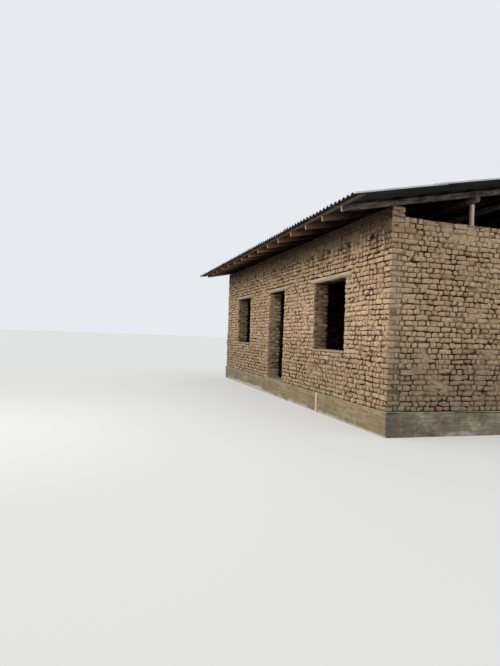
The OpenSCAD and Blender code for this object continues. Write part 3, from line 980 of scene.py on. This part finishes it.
def ridge_pieces(pile, node, low, high):
    """Capping pieces over the ridge, each lapped over the next, with a roll along the fold."""
    half, wing, step = high.x, high.y, 2 * high.x / CAPS
    turns = np.linspace(-1, 1, 11) * math.radians(122)
    outline = [(math.sin(a) * CAP_ROLL, math.cos(a) * CAP_ROLL) for a in turns]
    runs = [f * (wing - CAP_ROLL) for f in (0, 0.5, 0.93)]
    left_wing = [(-wing + run, -RISE * (wing - run)) for run in runs]
    right_wing = [(-y, z) for y, z in reversed(left_wing)]
    profile = np.array([*left_wing, *outline, *right_wing])
    lean = np.gradient(profile, axis=0)
    normal = np.stack([-lean[:, 1], lean[:, 0]], 1) / np.linalg.norm(lean, axis=1, keepdims=True)
    cells = (6, len(profile) - 1, 1)
    points, quads = lattice(cells)
    share, around, layer = points[:, 0] / cells[0], points[:, 1], points[:, 2]
    for number in range(CAPS):
        x0 = -half + number * step - (CAP_LAP if number else 0)
        x = x0 + share * (-half + (number + 1) * step - x0)
        skin = layer * CAP_T + (CAP_T + 0.002) * (1 - share) * (number > 0)
        yz = profile[around] + normal[around] * skin[:, None]
        world = wobble(np.stack([x, yz[:, 0], high.z - CAP_ROLL + yz[:, 1]], 1), 0.5, 0.0025, 51)
        # A tone of one on the edges makes a painted highlight there
        edge = (around % cells[1] == 0) | (points[:, 0] == 0)
        tone = np.clip(edge * 1.0 + pile.rng.uniform(0, 0.4), 0, 1)
        pile.add(world, quads, tone, np.stack([x, around * 0.03, layer], 1))


def sheet_nails(material):
    """Nails with washers through the crests of the sheets, over the battens."""
    pile, sides = Pile("sheet_nail"), 8
    angle = np.arange(sides) * 2 * math.pi / sides
    ring = np.stack([np.cos(angle), np.sin(angle)], 1)
    shape = [(0.014, 0), (0.014, 0.002), (0.006, 0.0035), (0.005, 0.006)]
    cap = np.roll(fan(4 * sides, 3 * sides, sides), -1, axis=1)
    for name, slope in SLOPES.items():
        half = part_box(name + "_roof_lower")[1].x
        rows = batten_rows(name + "_battens", slope)
        for number, (low, high, _) in enumerate(rows):
            if number % 3 == 1 and number < len(rows) - 1:
                continue
            row = sum(row_reach(upper)[0] < low for upper in (1, 2))
            start, end = row_reach(row)
            for wave in range(1, round(2 * half / WAVE) - 1, 3 + number % 2):
                x = -half + (wave + 0.5) * WAVE + pile.rng.normal(0, 0.006)
                u = (low + high) / 2 + pile.rng.normal(0, 0.01)
                share = (u - start) / (end - start)
                v = BATTEN_T + WAVE_H + SHEET_T + (row > 0) * (0.002 + 0.01 * (1 - share)) - 0.001
                rings = [np.concatenate([ring * r + (x, u), np.full((sides, 1), v + h)], 1) for r, h in shape]
                points = np.concatenate([*rings, [[x, u, v + shape[-1][1] + 0.001]]])
                pile.add(slope.place(points), [ring_quads(3, sides), cap])
    pile.make("_heads", material, [], "roof_sheet", 50)


# Plinth, floor, sills


def pushed(points, size, radius, move):
    """The points of a rounded box with its upright faces moved out or in."""
    out = np.where(np.abs(np.abs(points) - size / 2) < radius + 0.0001, np.sign(points), 0)
    out[:, 2] = 0
    return points + out * move[:, None]


def plinth_side(pile, node, low, high):
    """Cast concrete with the steps of its formwork boards, worn edges and a squeezed mud bed."""
    size, centre = np.array(high - low), np.array(high + low) / 2
    size[1] += 2 * PLINTH_TUCK * (size[1] > size[0])
    points, quads = rounded_box(size, 0.01, cells_of(size, 0.07))
    board = np.floor((points[:, 2] + size[2] / 2) / FORM_BOARD)
    step = 0.0022 * hashed(np.stack([board, board * 0, board * 0], 1), 61)
    dent = 0.005 * noise(points + centre, 0.55, 62) + 0.0025 * noise(points + centre, 0.12, 63)
    points = pushed(points, size, 0.01, step + dent - 0.004) + centre
    points[:, 2] = np.maximum(points[:, 2], 0)
    pile.add(points, quads)
    bed = np.array([size[0], size[1], 0.016])
    points, quads = rounded_box(bed, 0.006, (*cells_of(bed[:2], 0.05), 3))
    spread = noise(points + centre, 0.16, 64) + 0.35 * noise(points + centre, 0.06, 65)
    points = pushed(points, bed, 0.006, 0.012 * np.clip(spread, -0.7, 1) - 0.004)
    points += (centre[0], centre[1], high.z - 0.014)
    points[:, 2] += 0.003 * noise(points, 0.3, 66)
    pile.add(points, quads, 1)


def slab(pile, node, low, high, radius, cell, lumps):
    """A bed of mud, earth or concrete with an uneven skin."""
    size = np.array(high - low)
    points, quads = rounded_box(size, radius, cells_of(size, cell))
    points += np.array(high + low) / 2
    for length, amount in lumps:
        points = wobble(points, length, amount, 71)
    points[:, 2] = np.maximum(points[:, 2], 0)
    pile.add(points, quads)


# Materials


def put(socket, value):
    """Links a value to an input, or sets the input to a number, vector or colour."""
    if isinstance(value, Value):
        value.tree.links.new(value.socket, socket)
    elif socket.type == "RGBA":
        socket.default_value = (*value, 1.0)
    else:
        socket.default_value = value


def shader_node(tree, kind, inputs=(), output=0, **settings):
    """One output of a new node with these inputs and settings."""
    made = tree.nodes.new("ShaderNode" + kind)
    for key, value in settings.items():
        setattr(made, key, value)
    for key, value in dict(inputs).items():
        put(made.inputs[key], value)
    return Value(tree, made.outputs[output])


def blend(tree, share, a, b, how="MIX"):
    """Colour a mixed with a share of colour b."""
    mixed = shader_node(tree, "Mix", {0: share, 6: a, 7: b}, 2, data_type="RGBA", blend_type=how)
    return Colour(tree, mixed.socket)


def math_node(operation, first=0):
    """A method that works out a sum of a value and another one; first is the value's own place."""
    return lambda self, other=0.0: shader_node(
        self.tree, "Math", {first: self, 1 - first: other}, operation=operation
    )


def part_of(axis):
    return property(lambda self: shader_node(self.tree, "SeparateXYZ", {0: self}, axis))


class Value:
    """The output of a node, with the sums and patterns that can be made from it."""

    __add__, __sub__, __rsub__ = math_node("ADD"), math_node("SUBTRACT"), math_node("SUBTRACT", 1)
    __mul__, __abs__ = math_node("MULTIPLY"), math_node("ABSOLUTE")
    max, sine = math_node("MAXIMUM"), math_node("SINE")
    x, y, z = part_of("X"), part_of("Y"), part_of("Z")

    def __init__(self, tree, socket):
        self.tree, self.socket = tree, socket

    def steps(self, low, high, out_low=0.0, out_high=1.0):
        """A soft step between two values, from one output to the other."""
        inputs = {"Value": self, "From Min": low, "From Max": high, "To Min": out_low, "To Max": out_high}
        return shader_node(self.tree, "MapRange", inputs, interpolation_type="SMOOTHSTEP")

    def by(self, *scale):
        """The vector stretched by a number along each axis."""
        return shader_node(self.tree, "Mapping", {"Vector": self, "Scale": scale})

    def noise(self, scale=1.0, detail=4.0, roughness=0.55):
        inputs = {"Vector": self, "Scale": scale, "Detail": detail, "Roughness": roughness}
        return shader_node(self.tree, "TexNoise", inputs)

    def cells(self, scale=1.0, feature="F1"):
        inputs = {"Vector": self, "Scale": scale}
        return shader_node(self.tree, "TexVoronoi", inputs, "Distance", feature=feature)

    def ramp(self, *stops):
        """Colours along the value, from stops of a place and a colour each."""
        made = self.tree.nodes.new("ShaderNodeValToRGB")
        put(made.inputs[0], self)
        elements = made.color_ramp.elements
        while len(elements) < len(stops):
            elements.new(0.5)
        for element, (place, colour) in zip(elements, stops):
            element.position, element.color = place, (*colour, 1.0)
        return Colour(self.tree, made.outputs[0])

    def mix(self, a, b):
        """Colour a where the value is 0 and colour b where it is 1."""
        return blend(self.tree, self, a, b)

    def shade(self, colour):
        """A colour made lighter or darker by the value, which lies around 1."""
        grey = shader_node(self.tree, "CombineColor", {0: self, 1: self, 2: self})
        return blend(self.tree, 1.0, colour, grey, "MULTIPLY")

    def bump(self, distance, strength=1.0, below=None):
        """Normals of the value taken as a height, over other normals."""
        inputs = {"Height": self, "Distance": distance, "Strength": strength}
        return shader_node(self.tree, "Bump", inputs if below is None else {**inputs, "Normal": below})


class Colour(Value):
    """A colour, which a value around 1 makes lighter or darker."""

    def __mul__(self, value):
        return value.shade(self)

    def painted(self, *layers):
        """The colour under layers of paint, each a mask and its colour."""
        colour = self
        for mask, paint in layers:
            colour = mask.mix(colour, paint)
        return colour


class Shader:
    """A material, and what its pieces tell it."""

    def __init__(self, name, roughness, specular=0.25):
        self.material = bpy.data.materials.new(name)
        self.material.use_nodes = True
        self.tree = self.material.node_tree
        self.inputs = self.tree.nodes["Principled BSDF"].inputs
        self.inputs["Roughness"].default_value = roughness
        self.inputs["Specular IOR Level"].default_value = specular

    def place(self):
        return shader_node(self.tree, "TexCoord", output="Object")

    def tone(self):
        return shader_node(self.tree, "Attribute", output="Fac", attribute_name="tone")

    def grain(self):
        return shader_node(self.tree, "Attribute", output="Vector", attribute_name="grain")

    def finish(self, colour, normal=None):
        put(self.inputs["Base Color"], colour)
        if normal is not None:
            put(self.inputs["Normal"], normal)
        return self.material


def behind_faces(place, shallow, deep):
    """0 at the outer faces of the house down to a shallow depth, 1 beyond a deeper one."""
    near_ends = abs(place.x).steps(HALF_L - deep, HALF_L - shallow)
    near_fronts = abs(place.y).steps(HALF_D - deep, HALF_D - shallow)
    return 1.0 - near_ends.max(near_fronts)


def reveal_shade(place, plain):
    """Lightness under the painted shade behind the faces of the walls: a plain share of it, and less in the
    windows.
    """
    from_door = abs(place.x - DOOR_X).steps(0.9, 1.5)
    in_window = from_door * place.z.steps(HEAD_Z - 0.02, HEAD_Z + 0.02, 1, 0)
    return 1.0 - behind_faces(place, 0.03, 0.07) * (in_window * WINDOW_SHADE + (1.0 - plain))


def indoors(place, lightness):
    """Painted shade: 1 at the walls and outside, and less inside the house and its attic."""
    return behind_faces(place, WALL_T - 0.03, WALL_T + 0.01).steps(0, 1, 1, lightness)


def gable_faces(place, deep, shallow, out_low=0, out_high=1):
    """A step from deep to shallow behind the faces of the gables."""
    return abs(place.x).steps(HALF_L - deep, HALF_L - shallow, out_low, out_high)


def eave_mask(place):
    """Where the long walls lie under the eaves, darkened by a mud wash and painted shade, with a ragged lower
    edge.
    """
    ragged = place.z + (place.by(9, 9, 0.9).noise(detail=3) - 0.5) * 0.8
    near_face = abs(place.y).steps(HALF_D - 0.12, HALF_D - 0.05)
    return ragged.steps(*EAVE_BAND) * near_face * gable_faces(place, 0.04, 0.015, 1, 0)


def top_shade(place):
    """Lightness of the wall tops: painted shade close under the eaves, none on the gables, which grow lighter
    towards their top.
    """
    on_gable = gable_faces(place, 0.04, 0.015)
    lighter_gable_top = on_gable * place.z.steps(3.0, 3.5, 0, 1.14)
    return place.z.steps(3.66, 3.98, 1, 0.5).max(on_gable).max(lighter_gable_top)


def hole_shade(place):
    """Lightness under the painted shade inside the holes before the joist ends, and in the joints of that
    course.
    """
    above = place.z.steps(JOIST_Z - 0.01, JOIST_Z)
    course = above * place.z.steps(JOIST_Z + 0.1, JOIST_Z + 0.11, 1, 0)
    return 1.0 - course * behind_faces(place, 0.012, 0.035) * 0.7


def corner_mask(place):
    """Where mud was smeared over the corners of the gable faces."""
    reach = abs(place.y) + place.noise(3.5, 3) * 0.3
    in_reach = place.z.steps(2.9, 3.4, 1, 0) * place.z.steps(0.8, 1.8, 0.25, 1)
    return reach.steps(HALF_D - 0.16, HALF_D + 0.02) * (gable_faces(place, 0.06, 0.03) * in_reach)


def wall_shade(place):
    """Lightness of the walls: dirty low down, with painted shade at the top under the eaves and lighter
    towards the top of the gables.
    """
    height = place.z + place.noise(1.3, 3) * 0.5
    return height.steps(1.25, 2.35, 0.78, 1) * top_shade(place)


def gable_foot_mask(place):
    """The damp lower courses of the gable faces."""
    height = place.z + place.noise(1.6) * 0.8
    return height.steps(0.9, 2.3, 1, 0) * gable_faces(place, 0.1, 0.04)


def adobe_material():
    """Sun-dried brick: straw, pits and a tone for each brick, washed with mud and darkened by painted shade
    under the eaves, with painted shade in the reveals, the joist holes and indoors.
    """
    s = Shader("adobe_brick", 0.93, 0.15)
    place, grain = s.place(), s.grain()
    tones = (0.0, (0.34, 0.232, 0.14)), (0.45, (0.57, 0.42, 0.272)), (1.0, (0.74, 0.575, 0.395))
    blotch, mottle = grain.noise(14, 5, 0.6), grain.noise(38, 4, 0.65)
    colour = s.tone().ramp(*tones) * blotch.steps(0.28, 0.72, 0.8, 1.16)
    colour = place.noise(0.9, 3).steps(0.35, 0.7, 0, 0.35).mix(colour, (0.52, 0.405, 0.275))
    tint = place.by(1, 1, 1.6).noise(1.5).ramp((0.36, (1.0, 0.9, 0.88)), (0.64, (1.0, 0.965, 0.87)))
    colour = blend(s.tree, 1.0, colour, tint, "MULTIPLY") * mottle.steps(0.32, 0.68, 0.7, 1.26)
    bend = shader_node(s.tree, "TexNoise", {"Vector": grain, "Scale": 9}, "Color")
    bent = shader_node(s.tree, "VectorMath", {0: grain, 1: bend})
    cracked = bent.by(11, 16, 9).cells(feature="DISTANCE_TO_EDGE").steps(0.01, 0.05, 1, 0)
    cracked = cracked * blotch.steps(0.46, 0.56) * 0.55
    colour = cracked.mix(colour, (0.11, 0.072, 0.042))
    straw = grain.by(38, 170, 60).noise(detail=2).steps(0.66, 0.76, 0, 0.45)
    pits = grain.cells(95)
    colour = straw.mix(colour, (0.72, 0.59, 0.39)) * pits.steps(0.1, 0.24, 0.72, 1)
    # A streaky mud wash with painted shade under the eaves, near black at its darkest and stronger towards
    # the near end
    wash_and_shade = place.by(24, 24, 3).noise(1, 4, 0.65)
    mud = wash_and_shade.ramp((0.36, (0.048, 0.032, 0.021)), (0.62, (0.215, 0.15, 0.098)))
    colour = colour.painted(
        (eave_mask(place) * place.x.steps(-5, 1.5, 0.54, 0.88), mud),
        (corner_mask(place) * 0.42, (0.41, 0.305, 0.216)),
        (gable_foot_mask(place) * 0.33, (0.19, 0.138, 0.104)),
    ) * wall_shade(place)
    from_break = shader_node(s.tree, "VectorMath", {0: place, 1: BREAK_AT}, "Value", operation="DISTANCE")
    broken = (from_break + blotch * 0.06).steps(BREAK_REACH + 0.01, BREAK_REACH + 0.03, 0.75, 0)
    colour = broken.mix(colour, mottle.ramp(*BREAK_COLOURS))
    # Painted shade in the reveals, the joist holes and indoors
    colour = colour * reveal_shade(place, 0.8) * hole_shade(place) * indoors(place, 0.35)
    normal = blotch.bump(0.012, 0.6, grain.noise(120, 4, 0.65).bump(0.004, 0.7))
    normal = pits.steps(0.06, 0.22).bump(0.003, 0.8, mottle.bump(0.01, 0.7, normal))
    return s.finish(colour, normal)


def mud_material():
    """Mud in the joints: like the bricks where it is flush, and darkened by painted shade to near black where
    it lies deep.
    """
    s = Shader("mud_joint", 0.97, 0.1)
    place = s.place()
    level = s.tone() + (place.noise(17, 5, 0.6) - 0.5) * 0.9
    # Painted shade deepens with the joint: near black where the mud lies deep
    depths = (0.08, (0.046, 0.028, 0.016)), (0.42, (0.205, 0.14, 0.088)), (0.85, (0.52, 0.385, 0.25))
    colour = level.ramp(*depths)
    # The mud wash with painted shade under the eaves
    wash_and_shade = eave_mask(place) * 0.68, (0.075, 0.052, 0.035)
    smeared = corner_mask(place) * 0.5, (0.335, 0.246, 0.17)
    # Dirt low down, painted shade at the wall tops and painted shade indoors
    colour = colour.painted(wash_and_shade, smeared) * wall_shade(place) * indoors(place, 0.3)
    # Painted shade in the joist holes and the reveals
    colour *= hole_shade(place) * reveal_shade(place, 1.0)
    fine = place.noise(60, 5, 0.65)
    return s.finish(colour * fine.steps(0.3, 0.7, 0.85, 1.1), fine.bump(0.006, 0.8))


def mud_bed_material(name, light, dark):
    """Smoothed mud of the sills and the earth floor."""
    s = Shader(name, 0.95, 0.12)
    place = s.place()
    lumps, fine = place.noise(7, 6, 0.6), place.noise(70, 4, 0.6)
    cracks = place.by(1, 1, 0.4).cells(9, "DISTANCE_TO_EDGE").steps(0, 0.03, 0.72, 1)
    colour = lumps.ramp((0.3, dark), (0.7, light)) * cracks * fine.steps(0.3, 0.7, 0.88, 1.1)
    return s.finish(colour, fine.bump(0.005, 0.6, lumps.bump(0.02, 0.5)))


def wood_material(name):
    """Sawn or peeled timber: rings around a pith along the grain, fibres, knots and weathering, with painted
    shade indoors, under the eaves and on the lintels.
    """
    light, dark, grey, grey_share, rings, attic = (*WOODS[name], RINGS, INDOORS)[:6]
    s = Shader(name + "_wood", 0.78)
    place, grain, tone = s.place(), s.grain(), s.tone()
    across = shader_node(s.tree, "VectorMath", {0: grain.by(0, 1, 1)}, "Value", operation="LENGTH")
    knot = grain.by(2.2, 11, 11).cells().steps(0.05, 0.17, 1, 0)
    radius = across * rings + grain.by(1.1, 4, 4).noise(detail=2) * 9 + knot * 2.2
    ring = (radius.sine() + 1.0) * 0.5
    fibre = grain.by(7, 260, 260).noise(1, 3, 0.6)
    colour = (ring * 0.55).mix(light, dark) * fibre.steps(0.25, 0.75, 0.72, 1.18)
    colour = knot.mix(colour, tuple(0.35 * value for value in dark))
    weather = grain.by(1.6, 9, 9).noise()
    colour = weather.steps(0.3, 0.65, 0.25 * grey_share, grey_share).mix(colour, grey)
    colour *= grain.by(3, 14, 14).noise(detail=3).steps(0.3, 0.55, 0.7, 1)
    # A tone below zero darkens the wood as painted shade
    colour = colour * tone.steps(0, 1, 0.72, 1.25) * tone.steps(-0.9, -0.3, 0.16, 1)
    sawn = ring.ramp((0.2, (0.4, 0.29, 0.185)), (0.8, (0.62, 0.485, 0.34)))
    worn = grain.by(5, 22, 22).noise(1, 5, 0.65)
    silvers = (0.35, (0.085, 0.062, 0.052)), (0.5, (0.205, 0.175, 0.158)), (0.65, (0.4, 0.35, 0.315))
    silver = worn.ramp(*silvers)
    silver = knot.mix(silver * fibre.steps(0.25, 0.75, 0.7, 1.2), (0.06, 0.042, 0.034))
    weathered = tone.steps(2.2, 2.8)
    colour = tone.steps(1.2, 1.8).mix(colour, weathered.mix(sawn, silver))
    # Painted shade in the attic and indoors
    colour *= behind_faces(place, 0.24, 0.34).steps(0, 1, 1, attic)
    # Painted shade on the rafters and roof boards under the eaves, darkest at the wall; the weathered gable
    # rafters are left out
    if name in ("rafter", "board"):
        under = abs(place.y).steps(HALF_D + 0.25, TAIL_Y - 0.08, 0.1, 1)
        colour *= under.max(weathered)
    # Painted shade low on the lintels and painted light along their tops
    if name == "lintel":
        colour *= place.z.steps(HEAD_Z, LINTEL_TOP - 0.015, 0.46, 1.14)
    saw = grain.by(140, 3, 3).noise(detail=2).bump(0.0012, 0.4)
    return s.finish(colour, (fibre * 0.7 + ring * 0.3).bump(0.0016, 0.8, saw))


def slate_material():
    """Weathered cement sheet: grey with streaks down the slope, lichen, a painted highlight along its edges
    and painted shade on its underside.
    """
    s = Shader("roof_sheet", 0.85)
    place, grain = s.place(), s.grain()
    cloud, fine = grain.noise(3.2, 5, 0.6), grain.noise(150, 3, 0.6)
    streak = grain.by(26, 1.3, 1).noise()
    colour = cloud.ramp((0.25, (0.29, 0.292, 0.29)), (0.55, (0.4, 0.4, 0.392)), (0.85, (0.52, 0.515, 0.5)))
    colour = (colour * streak.steps(0.3, 0.72, 0.82, 1.08)).painted(
        (place.noise(6.5, 7, 0.7).steps(0.6, 0.7, 0, 0.55), (0.13, 0.133, 0.122)),
        (place.noise(17, 5, 0.6).steps(0.66, 0.74, 0, 0.45), (0.33, 0.31, 0.21)),
        # Painted highlight along the edges
        (s.tone().steps(0.7, 1, 0, 0.75), (0.6, 0.6, 0.59)),
    )
    # The underside is painted near black as painted shade
    facing = shader_node(s.tree, "NewGeometry", output="True Normal").z
    below = streak.steps(0.3, 0.72, 0.6, 1.3).shade((0.054, 0.056, 0.064))
    colour = facing.steps(-0.55, -0.35).mix(below, colour * fine.steps(0.3, 0.7, 0.88, 1.08))
    return s.finish(colour, fine.bump(0.0012, 0.6, cloud.bump(0.004, 0.3)))


def concrete_material():
    """Cast concrete: formwork lines, pores, rusty and earthy stains, lime along its foot, and a painted
    shadow line just below its top on the gable sides.
    """
    s = Shader("concrete", 0.9, 0.2)
    place = s.place()
    height, across, deep = place.z, place.x, place.y
    cloud = place.noise(2.4, 6, 0.6)
    on_front = abs(deep).steps(HALF_D - 0.02, HALF_D + 0.01)
    off_front = 1.0 - on_front
    warm = place.by(1.5, 1.5, 2.2).noise(1, 5, 0.6).steps(0.28, 0.62, 0.2, 0.85)
    patch = (deep + place.noise(5, 3) * 0.3).steps(0.52 - HALF_D, 0.18 - HALF_D)
    patch = patch * across.steps(HALF_L - 0.01, HALF_L + 0.012)
    colour = cloud.ramp((0.34, (0.15, 0.118, 0.078)), (0.5, (0.25, 0.2, 0.134)), (0.66, (0.37, 0.302, 0.205)))
    colour = colour.painted(
        (on_front * warm, (0.285, 0.208, 0.118)),
        (place.by(3, 3, 1.6).noise(1, 4, 0.65).steps(0.58, 0.72, 0, 0.5), (0.33, 0.205, 0.11)),
        (place.noise(3.7, 5, 0.6).steps(0.56, 0.7, 0, 0.45), (0.15, 0.152, 0.108)),
        (patch * 0.66, (0.104, 0.098, 0.09)),
    )
    boards = (height * (2 * math.pi / FORM_BOARD)).sine().steps(0.985, 0.999, 1, 0.86)
    fibre, crumbs = place.by(3, 3, 120).noise(1, 3, 0.6), place.noise(13, 6, 0.72)
    colour *= place.by(2.2, 2.2, 26).noise(1, 4, 0.65).steps(0.32, 0.68, 0.78, 1.2)
    colour = colour * boards * fibre.steps(0.25, 0.75, 0.94, 1.05) * crumbs.steps(0.32, 0.68, 0.8, 1.16)
    lip = (height + place.noise(11, 3) * 0.03).steps(PLINTH_TOP - 0.012, PLINTH_TOP + 0.004, 0, 0.25)
    foot = height - place.by(1.7, 1.7, 4).noise(1, 5, 0.65) * 0.34
    lime = foot.steps(-0.14, -0.07, 0.75, 0) * place.noise(1.7, 5).steps(0.43, 0.55)
    splash = abs(across + 2.6).steps(1.2, 2.4, 0.13, 0) * place.noise(2.2)
    rim = height - place.by(2.6, 2.6, 4).noise(1, 4, 0.65) * 0.1 - splash
    dusty = height + place.noise(9, 5, 0.65) * 0.12 - abs(deep + 1.85).steps(0.15, 0.55, 0.11, 0)
    dusty = dusty.steps(0.01, 0.05, 0.8, 0) * off_front
    dusty = dusty * place.by(1, 1, 2).noise(17, 6, 0.75).steps(0.42, 0.58, 0.1, 1)
    colour = colour.painted(
        (lip, (0.42, 0.365, 0.275)),
        (lime * on_front.steps(0, 1, 0.5, 1), (0.43, 0.395, 0.34)),
        (rim.steps(-0.035, -0.005, 0.75, 0) * on_front, (0.6, 0.56, 0.51)),
        (dusty, (0.6, 0.555, 0.5)),
    )
    pores = place.cells(62)
    colour *= pores.steps(0.08, 0.2, 0.62, 1)
    bed = cloud.ramp((0.3, (0.17, 0.13, 0.09)), (0.7, (0.4, 0.32, 0.23)))
    colour = s.tone().steps(0.6, 1, 0, 0.85).mix(colour, bed)
    # Painted shadow line along the top of the plinth on the gable sides
    shadow_line = abs(height + cloud * 0.03 - (PLINTH_TOP - 0.004)).steps(0.006, 0.012, 0.9, 0)
    shadow_line = shadow_line * place.by(1.1, 1.1, 0.3).noise(detail=3).steps(0.45, 0.52) * off_front
    normal = pores.steps(0.05, 0.2).bump(0.004, 0.7, crumbs.bump(0.012, 0.8))
    normal = place.noise(90, 5, 0.65).bump(0.003, 0.7, normal)
    return s.finish(shadow_line.mix(colour, (0.022, 0.017, 0.012)), normal)


def steel_material():
    """Dull zinc of nails and washers with rust."""
    s = Shader("nail_steel", 0.5, 0.5)
    s.inputs["Metallic"].default_value = 0.8
    return s.finish(s.place().noise(220, 3).ramp((0.4, (0.42, 0.42, 0.41)), (0.6, (0.26, 0.14, 0.07))))


# Stage

# Warm colour of both lamps
LAMP_COLOUR = 1.0, 0.95, 0.87


def floor_material():
    """Pale to the camera, partly by itself, and duller for the light thrown back on the object."""
    s = Shader("floor", 0.95, 0.0)
    rays = shader_node(s.tree, "LightPath", output="Is Camera Ray")
    put(s.inputs["Emission Color"], (0.4, 0.4, 0.39))
    put(s.inputs["Emission Strength"], rays)
    return s.finish(rays.mix((0.25, 0.23, 0.205), (0.3, 0.295, 0.285)))


def sky():
    """Pale to the camera, and brighter as a light."""
    world = bpy.data.worlds.new("sky")
    bpy.context.scene.world = world
    world.use_nodes = True
    tree = world.node_tree
    seen = shader_node(tree, "Background", {"Color": (0.8, 0.83, 0.87)})
    lit = shader_node(tree, "Background", {"Color": (0.9, 0.95, 1.0), "Strength": 1.2})
    rays = shader_node(tree, "LightPath", output="Is Camera Ray")
    mixed = shader_node(tree, "MixShader", {0: rays, 1: lit, 2: seen})
    put(tree.nodes["World Output"].inputs["Surface"], mixed)


def stage():
    """A wide pale floor, a pale sky, and a soft key light and a panel from the front left."""
    mesh = bpy.data.meshes.new("floor")
    reach = 400.0
    corners = [(-reach, -reach, 0), (reach, -reach, 0), (reach, reach, 0), (-reach, reach, 0)]
    mesh.from_pydata(corners, [], [(0, 1, 2, 3)])
    mesh.materials.append(floor_material())
    linked(mesh)
    sky()
    key = bpy.data.lights.new("key", "SUN")
    key.energy, key.angle, key.color = 0.7, math.radians(36), LAMP_COLOUR
    linked(key).rotation_euler = Vector((0.42, 0.8, -0.5)).to_track_quat("-Z", "Y").to_euler()
    panel = bpy.data.lights.new("fill", "AREA")
    panel.shape, panel.size, panel.energy, panel.color = "DISK", 5.0, 220.0, LAMP_COLOUR
    seat = linked(panel)
    seat.location = (4.8, -11.5, 4.5)
    aim = Vector((2.5, -HALF_D, 2.0)) - seat.location
    seat.rotation_euler = aim.to_track_quat("-Z", "Y").to_euler()


def camera():
    """The photograph's view: found from the edges of the walls, the courses and the roof."""
    focal, frame_height = 504.4, 666
    yaw, pitch, roll = math.radians(-16.37), math.radians(0.23), math.radians(1.99)
    ahead = Vector((-math.cos(yaw) * math.cos(pitch), -math.sin(yaw) * math.cos(pitch), math.sin(pitch)))
    right = Vector((-math.sin(yaw), math.cos(yaw), 0))
    up = right.cross(ahead)
    turned_right = right * math.cos(roll) + up * math.sin(roll)
    turned_up = up * math.cos(roll) - right * math.sin(roll)
    lens = bpy.data.cameras.new("camera")
    lens.sensor_fit, lens.sensor_height, lens.clip_end = "VERTICAL", 36, 300
    lens.lens = focal / frame_height * lens.sensor_height
    matrix = Matrix((turned_right, turned_up, -ahead)).transposed().to_4x4()
    matrix.translation = (HALF_L + 7.698, -HALF_D - 4.765, 1.7)
    seat = linked(lens)
    seat.matrix_world = matrix
    bpy.context.scene.camera = seat


def build_walls(brick, mud):
    """Every adobe wall, its mud core and the brickwork on its top."""
    for side, inside, name in ((FRONT, FRONT_INSIDE, "front"), (BACK, BACK_INSIDE, "back")):
        wall, head = name + "_wall", name + "_wall_head"
        long_wall_bricks(wall, side, inside, range(JOIST_COURSE), 0, brick)
        long_wall_bricks(head, side, inside, range(JOIST_COURSE, COURSES), POCKET_W, brick)
        reach = CORNER_MUD, side.length - CORNER_MUD
        low, high = (PLINTH_TOP, JOIST_Z), (JOIST_Z, WALL_TOP - 0.002)
        mud_core(wall, side, reach, low, long_wall_holes(side), long_wall_smear, mud)
        mud_core(head, side, reach, high, pocket_holes(side), long_wall_smear, mud, pocket_cheeks(side))
        upstand(name + "_upstand", side, brick, mud)
    reach = WALL_T - 0.03, 2 * HALF_D - WALL_T + 0.03
    for side, inside, name in ((RIGHT, RIGHT_INSIDE, "right"), (LEFT, LEFT_INSIDE, "left")):
        wall = name + "_gable_wall"
        gable_wall_bricks(wall, side, inside, brick)
        mud_core(wall, side, reach, (PLINTH_TOP, WALL_TOP - 0.006), [], gable_smear, mud)


def build_timber():
    """Lintels, joists, plates, posts, logs, rafters and roof boards."""
    rafter_wood, board_wood, post_wood, lintel_wood, log_wood, ridge_wood = map(wood_material, WOODS)
    for node in ("near_window_lintel", "door_lintel", "far_window_lintel"):
        dress(node, lintel, "_boards", lintel_wood, "board")
    dress("ceiling_joists", joists, "_timbers", rafter_wood, "timber")
    dress("plinth_batten", form_batten, "_board", post_wood, "board", name="plinth_form")
    for side, slope in SLOPES.items():
        dress(side + "_wall_plate", stacked_beams, "_beams", rafter_wood, "timber")
        dress(side + "_rafters", rafters, "_boards", rafter_wood, "timber", slope)
        dress(side + "_battens", battens, "_boards", board_wood, "board", slope)
        dress(side + "_purlin_posts", posts, "_timbers", post_wood, "timber")
        dress(side + "_purlin", purlin, "_logs", log_wood, "log", side + "_purlin_posts", sharp=60)
    dress("ridge_posts", posts, "_timbers", post_wood, "timber")
    dress("ridge_log", purlin, "_logs", ridge_wood, "log", "ridge_posts", name="ridge", sharp=60)


def build_roof():
    """The rows of sheets, the ridge cap and the nails."""
    slate = slate_material()
    for side, slope in SLOPES.items():
        for row, part in enumerate(("lower", "middle", "upper")):
            dress(f"{side}_roof_{part}", roof_row, "_sheets", slate, "roof_sheet", slope, row, sharp=50)
    dress("ridge_cap", ridge_pieces, "_pieces", slate, "roof_sheet", sharp=50)
    sheet_nails(steel_material())


def build_ground_works():
    """Plinth, floor, threshold and sills."""
    concrete = concrete_material()
    for side in ("front", "back", "left", "right"):
        dress(side + "_plinth", plinth_side, "_concrete", concrete, "concrete", sharp=55)
    sill = mud_bed_material("sill_mud", (0.41, 0.325, 0.235), (0.3, 0.225, 0.15))
    earth = mud_bed_material("floor_earth", (0.26, 0.195, 0.135), (0.15, 0.108, 0.072))
    for node, kind, material, slot, radius, cell, lumps in (
        ("near_window_sill", "_bed", sill, "mud", 0.012, 0.045, [(0.2, 0.004), (0.05, 0.002)]),
        ("far_window_sill", "_bed", sill, "mud", 0.012, 0.045, [(0.2, 0.004), (0.05, 0.002)]),
        ("door_threshold", "_slab", concrete, "concrete", 0.008, 0.04, [(0.2, 0.003), (0.05, 0.001)]),
        ("earth_floor", "_surface", earth, "earth", 0.02, 0.16, [(0.8, 0.01), (0.25, 0.004)]),
    ):
        dress(node, slab, kind, material, slot, radius, cell, lumps, sharp=None)


def main():
    bpy.context.scene.view_settings.view_transform = "Standard"
    camera()
    stage()
    build_walls(adobe_material(), mud_material())
    build_ground_works()
    build_timber()
    build_roof()


main()
